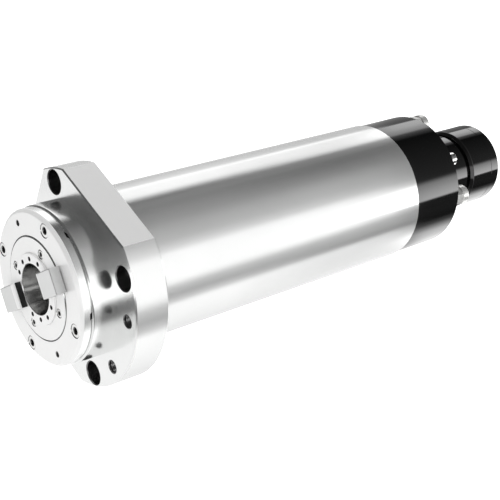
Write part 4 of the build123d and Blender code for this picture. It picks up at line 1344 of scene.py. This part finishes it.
@dataclass
class CadNodes:
    """Finishes of the CAD nodes: those that stay as they are, and those that a piece replaces."""

    inner: dict[Finish, tuple[str, ...]] = field(default_factory=lambda: {
        RACE: ("front_inner_races", "front_outer_races", "front_ball_rows",
               "front_inner_spacer", "front_outer_spacer", "rear_inner_races",
               "rear_outer_races", "rear_ball_rows", "rear_inner_spacers", "rear_outer_spacer"),
        NOSE: ("front_locknut", "rear_locknut", "encoder_ring", "drawbar", "spring_guide",
               "drawbar_nut", "gripper_finger_1", "gripper_finger_2", "gripper_finger_3",
               "gripper_finger_4", "release_piston"),
        SATIN: ("rear_carrier",), JACKET: ("cooling_jacket",),
        RUBBER: ("jacket_seals", "rod_seal", "piston_ring"),
        CORE: ("stator_core", "rotor_core"), COPPER: ("end_windings",),
        CAGE: ("rotor_end_rings",), PLASTIC: ("speed_sensor",), BRIGHT_SCREW: ("cylinder_screws",),
    })
    replaced: dict[Finish, tuple[str, ...]] = field(default_factory=lambda: {
        MIRROR: ("flange_housing", "front_cap", "labyrinth_ring"), NOSE: ("spindle_shaft",),
        KEY: ("drive_keys",), SATIN: ("motor_sleeve",), NICKEL: ("hose_fittings",),
        BLACK: ("rear_drum", "release_cylinder", "cylinder_cap"),
        PLASTIC: ("power_connector", "signal_connector"), SPRING: ("disc_springs", "return_spring"),
        BRIGHT_SCREW: ("cap_screws", "ring_screws", "drum_screws", "cylinder_cap_screws"),
    })

    def build(self) -> None:
        """Dress every CAD node."""
        count = 0
        for group in (self.inner, self.replaced):
            for finish, names in group.items():
                for name in names:
                    finish.on_node(name)
                count += len(names)
        LOG.info("dressed %d CAD nodes", count)


# Studio


@dataclass(frozen=True)
class Panel:
    """Long soft boxes that lie along the spindle, as metal that turns a ray towards them sees them.

    Attributes:
        start: Rearward lean of a ray from which this panel takes over from the one before it.
        end: Rearward lean at which it has taken over.
        bands: (angle, level) points round the spindle, from the lowest angle up.
    """

    start: float
    end: float
    bands: tuple[Point, ...]


FRONT_PANEL = Panel(-1.0, -1.0, (
    (-180, 1.05), (-145, 1.08), (-140, 1.16), (-134, 0.9), (-130, 0.15), (-40, 0.06), (0, 0.08),
    (48, 0.3), (52, 1.6), (82, 1.8), (86, 0.15), (110, 0.15), (118, 0.9), (128, 1.05),
))
NEAR_PANEL = Panel(-0.2, 0.2, (
    (-180, 1.1), (-160, 1.05), (-140, 1.6), (-126, 0.8), (-112, 0.6), (-90, 0.95), (-86, 1.7),
    (-80, 1.4), (-62, 1.4), (-56, 0.8), (-51, 0.12), (-47, 0.04), (-36, 0.1), (-8, 0.28), (8, 0.45),
    (24, 0.55), (36, 0.9), (43, 1.4), (80, 1.45), (84, 1.3), (92, 0.65), (104, 0.4), (114, 0.75),
    (122, 1.5), (140, 1.4),
))
FAR_PANEL = Panel(0.56, 0.68, (
    (-180, 1.1), (-160, 1.3), (-140, 0.9), (-112, 0.55), (-90, 0.65), (-86, 1.7), (-80, 1.2),
    (-56, 1.1), (-51, 0.7), (-47, 0.08), (-43, 0.02), (-24, 0.02), (-8, 0.16), (8, 0.42),
    (24, 0.55), (36, 0.75), (43, 1.4), (80, 1.5), (84, 1.4), (92, 0.6), (114, 0.22), (122, 1.1),
    (140, 1.0),
))
TAIL_PANEL = Panel(0.695, 0.715, (
    (-180, 2.2), (-150, 1.0), (-140, 0.35), (-86, 0.3), (-83, 2.0), (-68, 2.4), (-54, 1.9),
    (-50, 0.5), (-38, 0.02), (0, 0.09), (44, 0.2), (47, 0.4), (54, 2.6), (66, 4.0), (80, 5.0),
    (83, 0.1), (104, 0.1), (122, 0.05), (132, 0.4), (142, 1.6), (152, 2.6),
))


@dataclass
class Studio:
    """Pale floor, soft light and the camera."""

    floor_level: float = -0.45
    floor_size: float = 12.0
    floor_shade: float = 0.86
    floor_glow: float = 0.9
    glow_share: float = 0.8
    panels: tuple[Panel, ...] = (FRONT_PANEL, NEAR_PANEL, FAR_PANEL, TAIL_PANEL)
    sensor: float = 36.0
    lens: float = 79.05
    camera_place: tuple[float, ...] = (-0.3352, -0.3627, 0.4797)
    camera_right: tuple[float, ...] = (0.766, -0.573, 0.2914)
    camera_forward: tuple[float, ...] = (0.5974, 0.4671, -0.6518)

    @staticmethod
    def boxes(graph: Graph, place: Socket, bands: Sequence[Point]) -> Socket:
        """Long soft boxes that lie along the spindle.

        Args:
            graph: The world's graph.
            place: Where a ray points round the spindle axis, from 0 to 1.
            bands: (angle, level) points, from the lowest angle up.

        Returns:
            The light of the boxes.
        """
        top = max(level for _, level in bands)
        ramp = graph.add("ShaderNodeValToRGB", {"Fac": place})
        stops = ramp.color_ramp.elements
        while len(stops) < len(bands) + 1:
            stops.new(0.5)
        for stop, (angle, level) in zip(stops, [*bands, (180, bands[0][1])]):
            stop.position = (angle + 180) / 360
            stop.color = (level / top,) * 3 + (1,)
        light = graph.add("ShaderNodeBackground", {"Color": ramp.outputs["Color"], "Strength": top})
        return light.outputs[0]

    def light(self) -> None:
        """Light the world in long soft bands that lie along the spindle, as softboxes would."""
        world = bpy.data.worlds.new("studio")
        bpy.context.scene.world = world
        world.use_nodes = True
        world.node_tree.nodes.clear()
        graph = Graph(world.node_tree)
        ray = graph.add("ShaderNodeTexCoord").outputs["Generated"]
        axes = graph.add("ShaderNodeSeparateXYZ", {"Vector": ray})
        side = graph.sum("MULTIPLY", axes.outputs["Y"], -1.0)
        turn = graph.sum("ARCTAN2", side, axes.outputs["Z"])
        place = graph.sum("MULTIPLY_ADD", turn, 1 / math.tau, 0.5)
        light = self.boxes(graph, place, self.panels[0].bands)
        for panel in self.panels[1:]:
            lean = graph.add("ShaderNodeMapRange", {
                "Value": axes.outputs["X"], "From Min": panel.start, "From Max": panel.end},
                interpolation_type="SMOOTHSTEP").outputs["Result"]
            light = graph.mixed(lean, light, self.boxes(graph, place, panel.bands))
        white = graph.add("ShaderNodeBackground", {"Color": (1, 1, 1, 1), "Strength": 1.0})
        mirrored = graph.add("ShaderNodeLightPath").outputs["Is Glossy Ray"]
        mixed = graph.mixed(mirrored, white.outputs[0], light)
        graph.add("ShaderNodeOutputWorld", {"Surface": mixed})

    def floor(self) -> None:
        """Lay the pale floor, which the camera sees as plain white."""
        mesh = bmesh.new()
        bmesh.ops.create_grid(mesh, x_segments=1, y_segments=1, size=self.floor_size)
        bmesh.ops.translate(mesh, vec=(0, 0, self.floor_level), verts=mesh.verts)
        floor = scene_object("floor", poured(mesh, "floor"))
        paint = bpy.data.materials.new("pale floor")
        paint.use_nodes = True
        paint.node_tree.nodes.clear()
        graph = Graph(paint.node_tree)
        shade, glow = (self.floor_shade,) * 3 + (1,), self.floor_glow
        matt = graph.add("ShaderNodeBsdfDiffuse", {"Color": shade}).outputs[0]
        white = graph.add("ShaderNodeEmission", {"Color": (1, 1, 1, 1), "Strength": glow})
        seen = graph.add("ShaderNodeLightPath").outputs["Is Camera Ray"]
        level = graph.sum("MULTIPLY", seen, self.glow_share)
        mixed = graph.mixed(level, matt, white.outputs[0])
        lit = graph.add("ShaderNodeAddShader", {0: mixed, 1: white.outputs[0]}).outputs[0]
        graph.add("ShaderNodeOutputMaterial", {"Surface": graph.mixed(seen, matt, lit)})
        floor.data.materials.append(paint)
        floor.visible_glossy = False

    def camera(self) -> None:
        """Stand the camera where the photograph was taken from."""
        optics = bpy.data.cameras.new("camera")
        optics.sensor_width = self.sensor
        optics.lens = self.lens
        camera = scene_object("camera", optics)
        right = Vector(self.camera_right).normalized()
        forward = Vector(self.camera_forward).normalized()
        turn = Matrix((right, right.cross(forward), -forward)).transposed().to_4x4()
        camera.matrix_world = Matrix.Translation(self.camera_place) @ turn
        bpy.context.scene.camera = camera

    def build(self) -> None:
        """Set the studio up."""
        bpy.context.scene.view_settings.view_transform = "Standard"
        self.light()
        self.floor()
        self.camera()


def main() -> None:
    """Build the pieces, dress the frame and set the studio up."""
    logging.basicConfig(level=logging.INFO, format="%(message)s")
    for section in (CadNodes, FlangeHousing, FrontCap, ShaftNose, MotorSection, ReleaseUnit,
                    Springs, Studio):
        section().build()


if __name__ == "__main__":
    main()
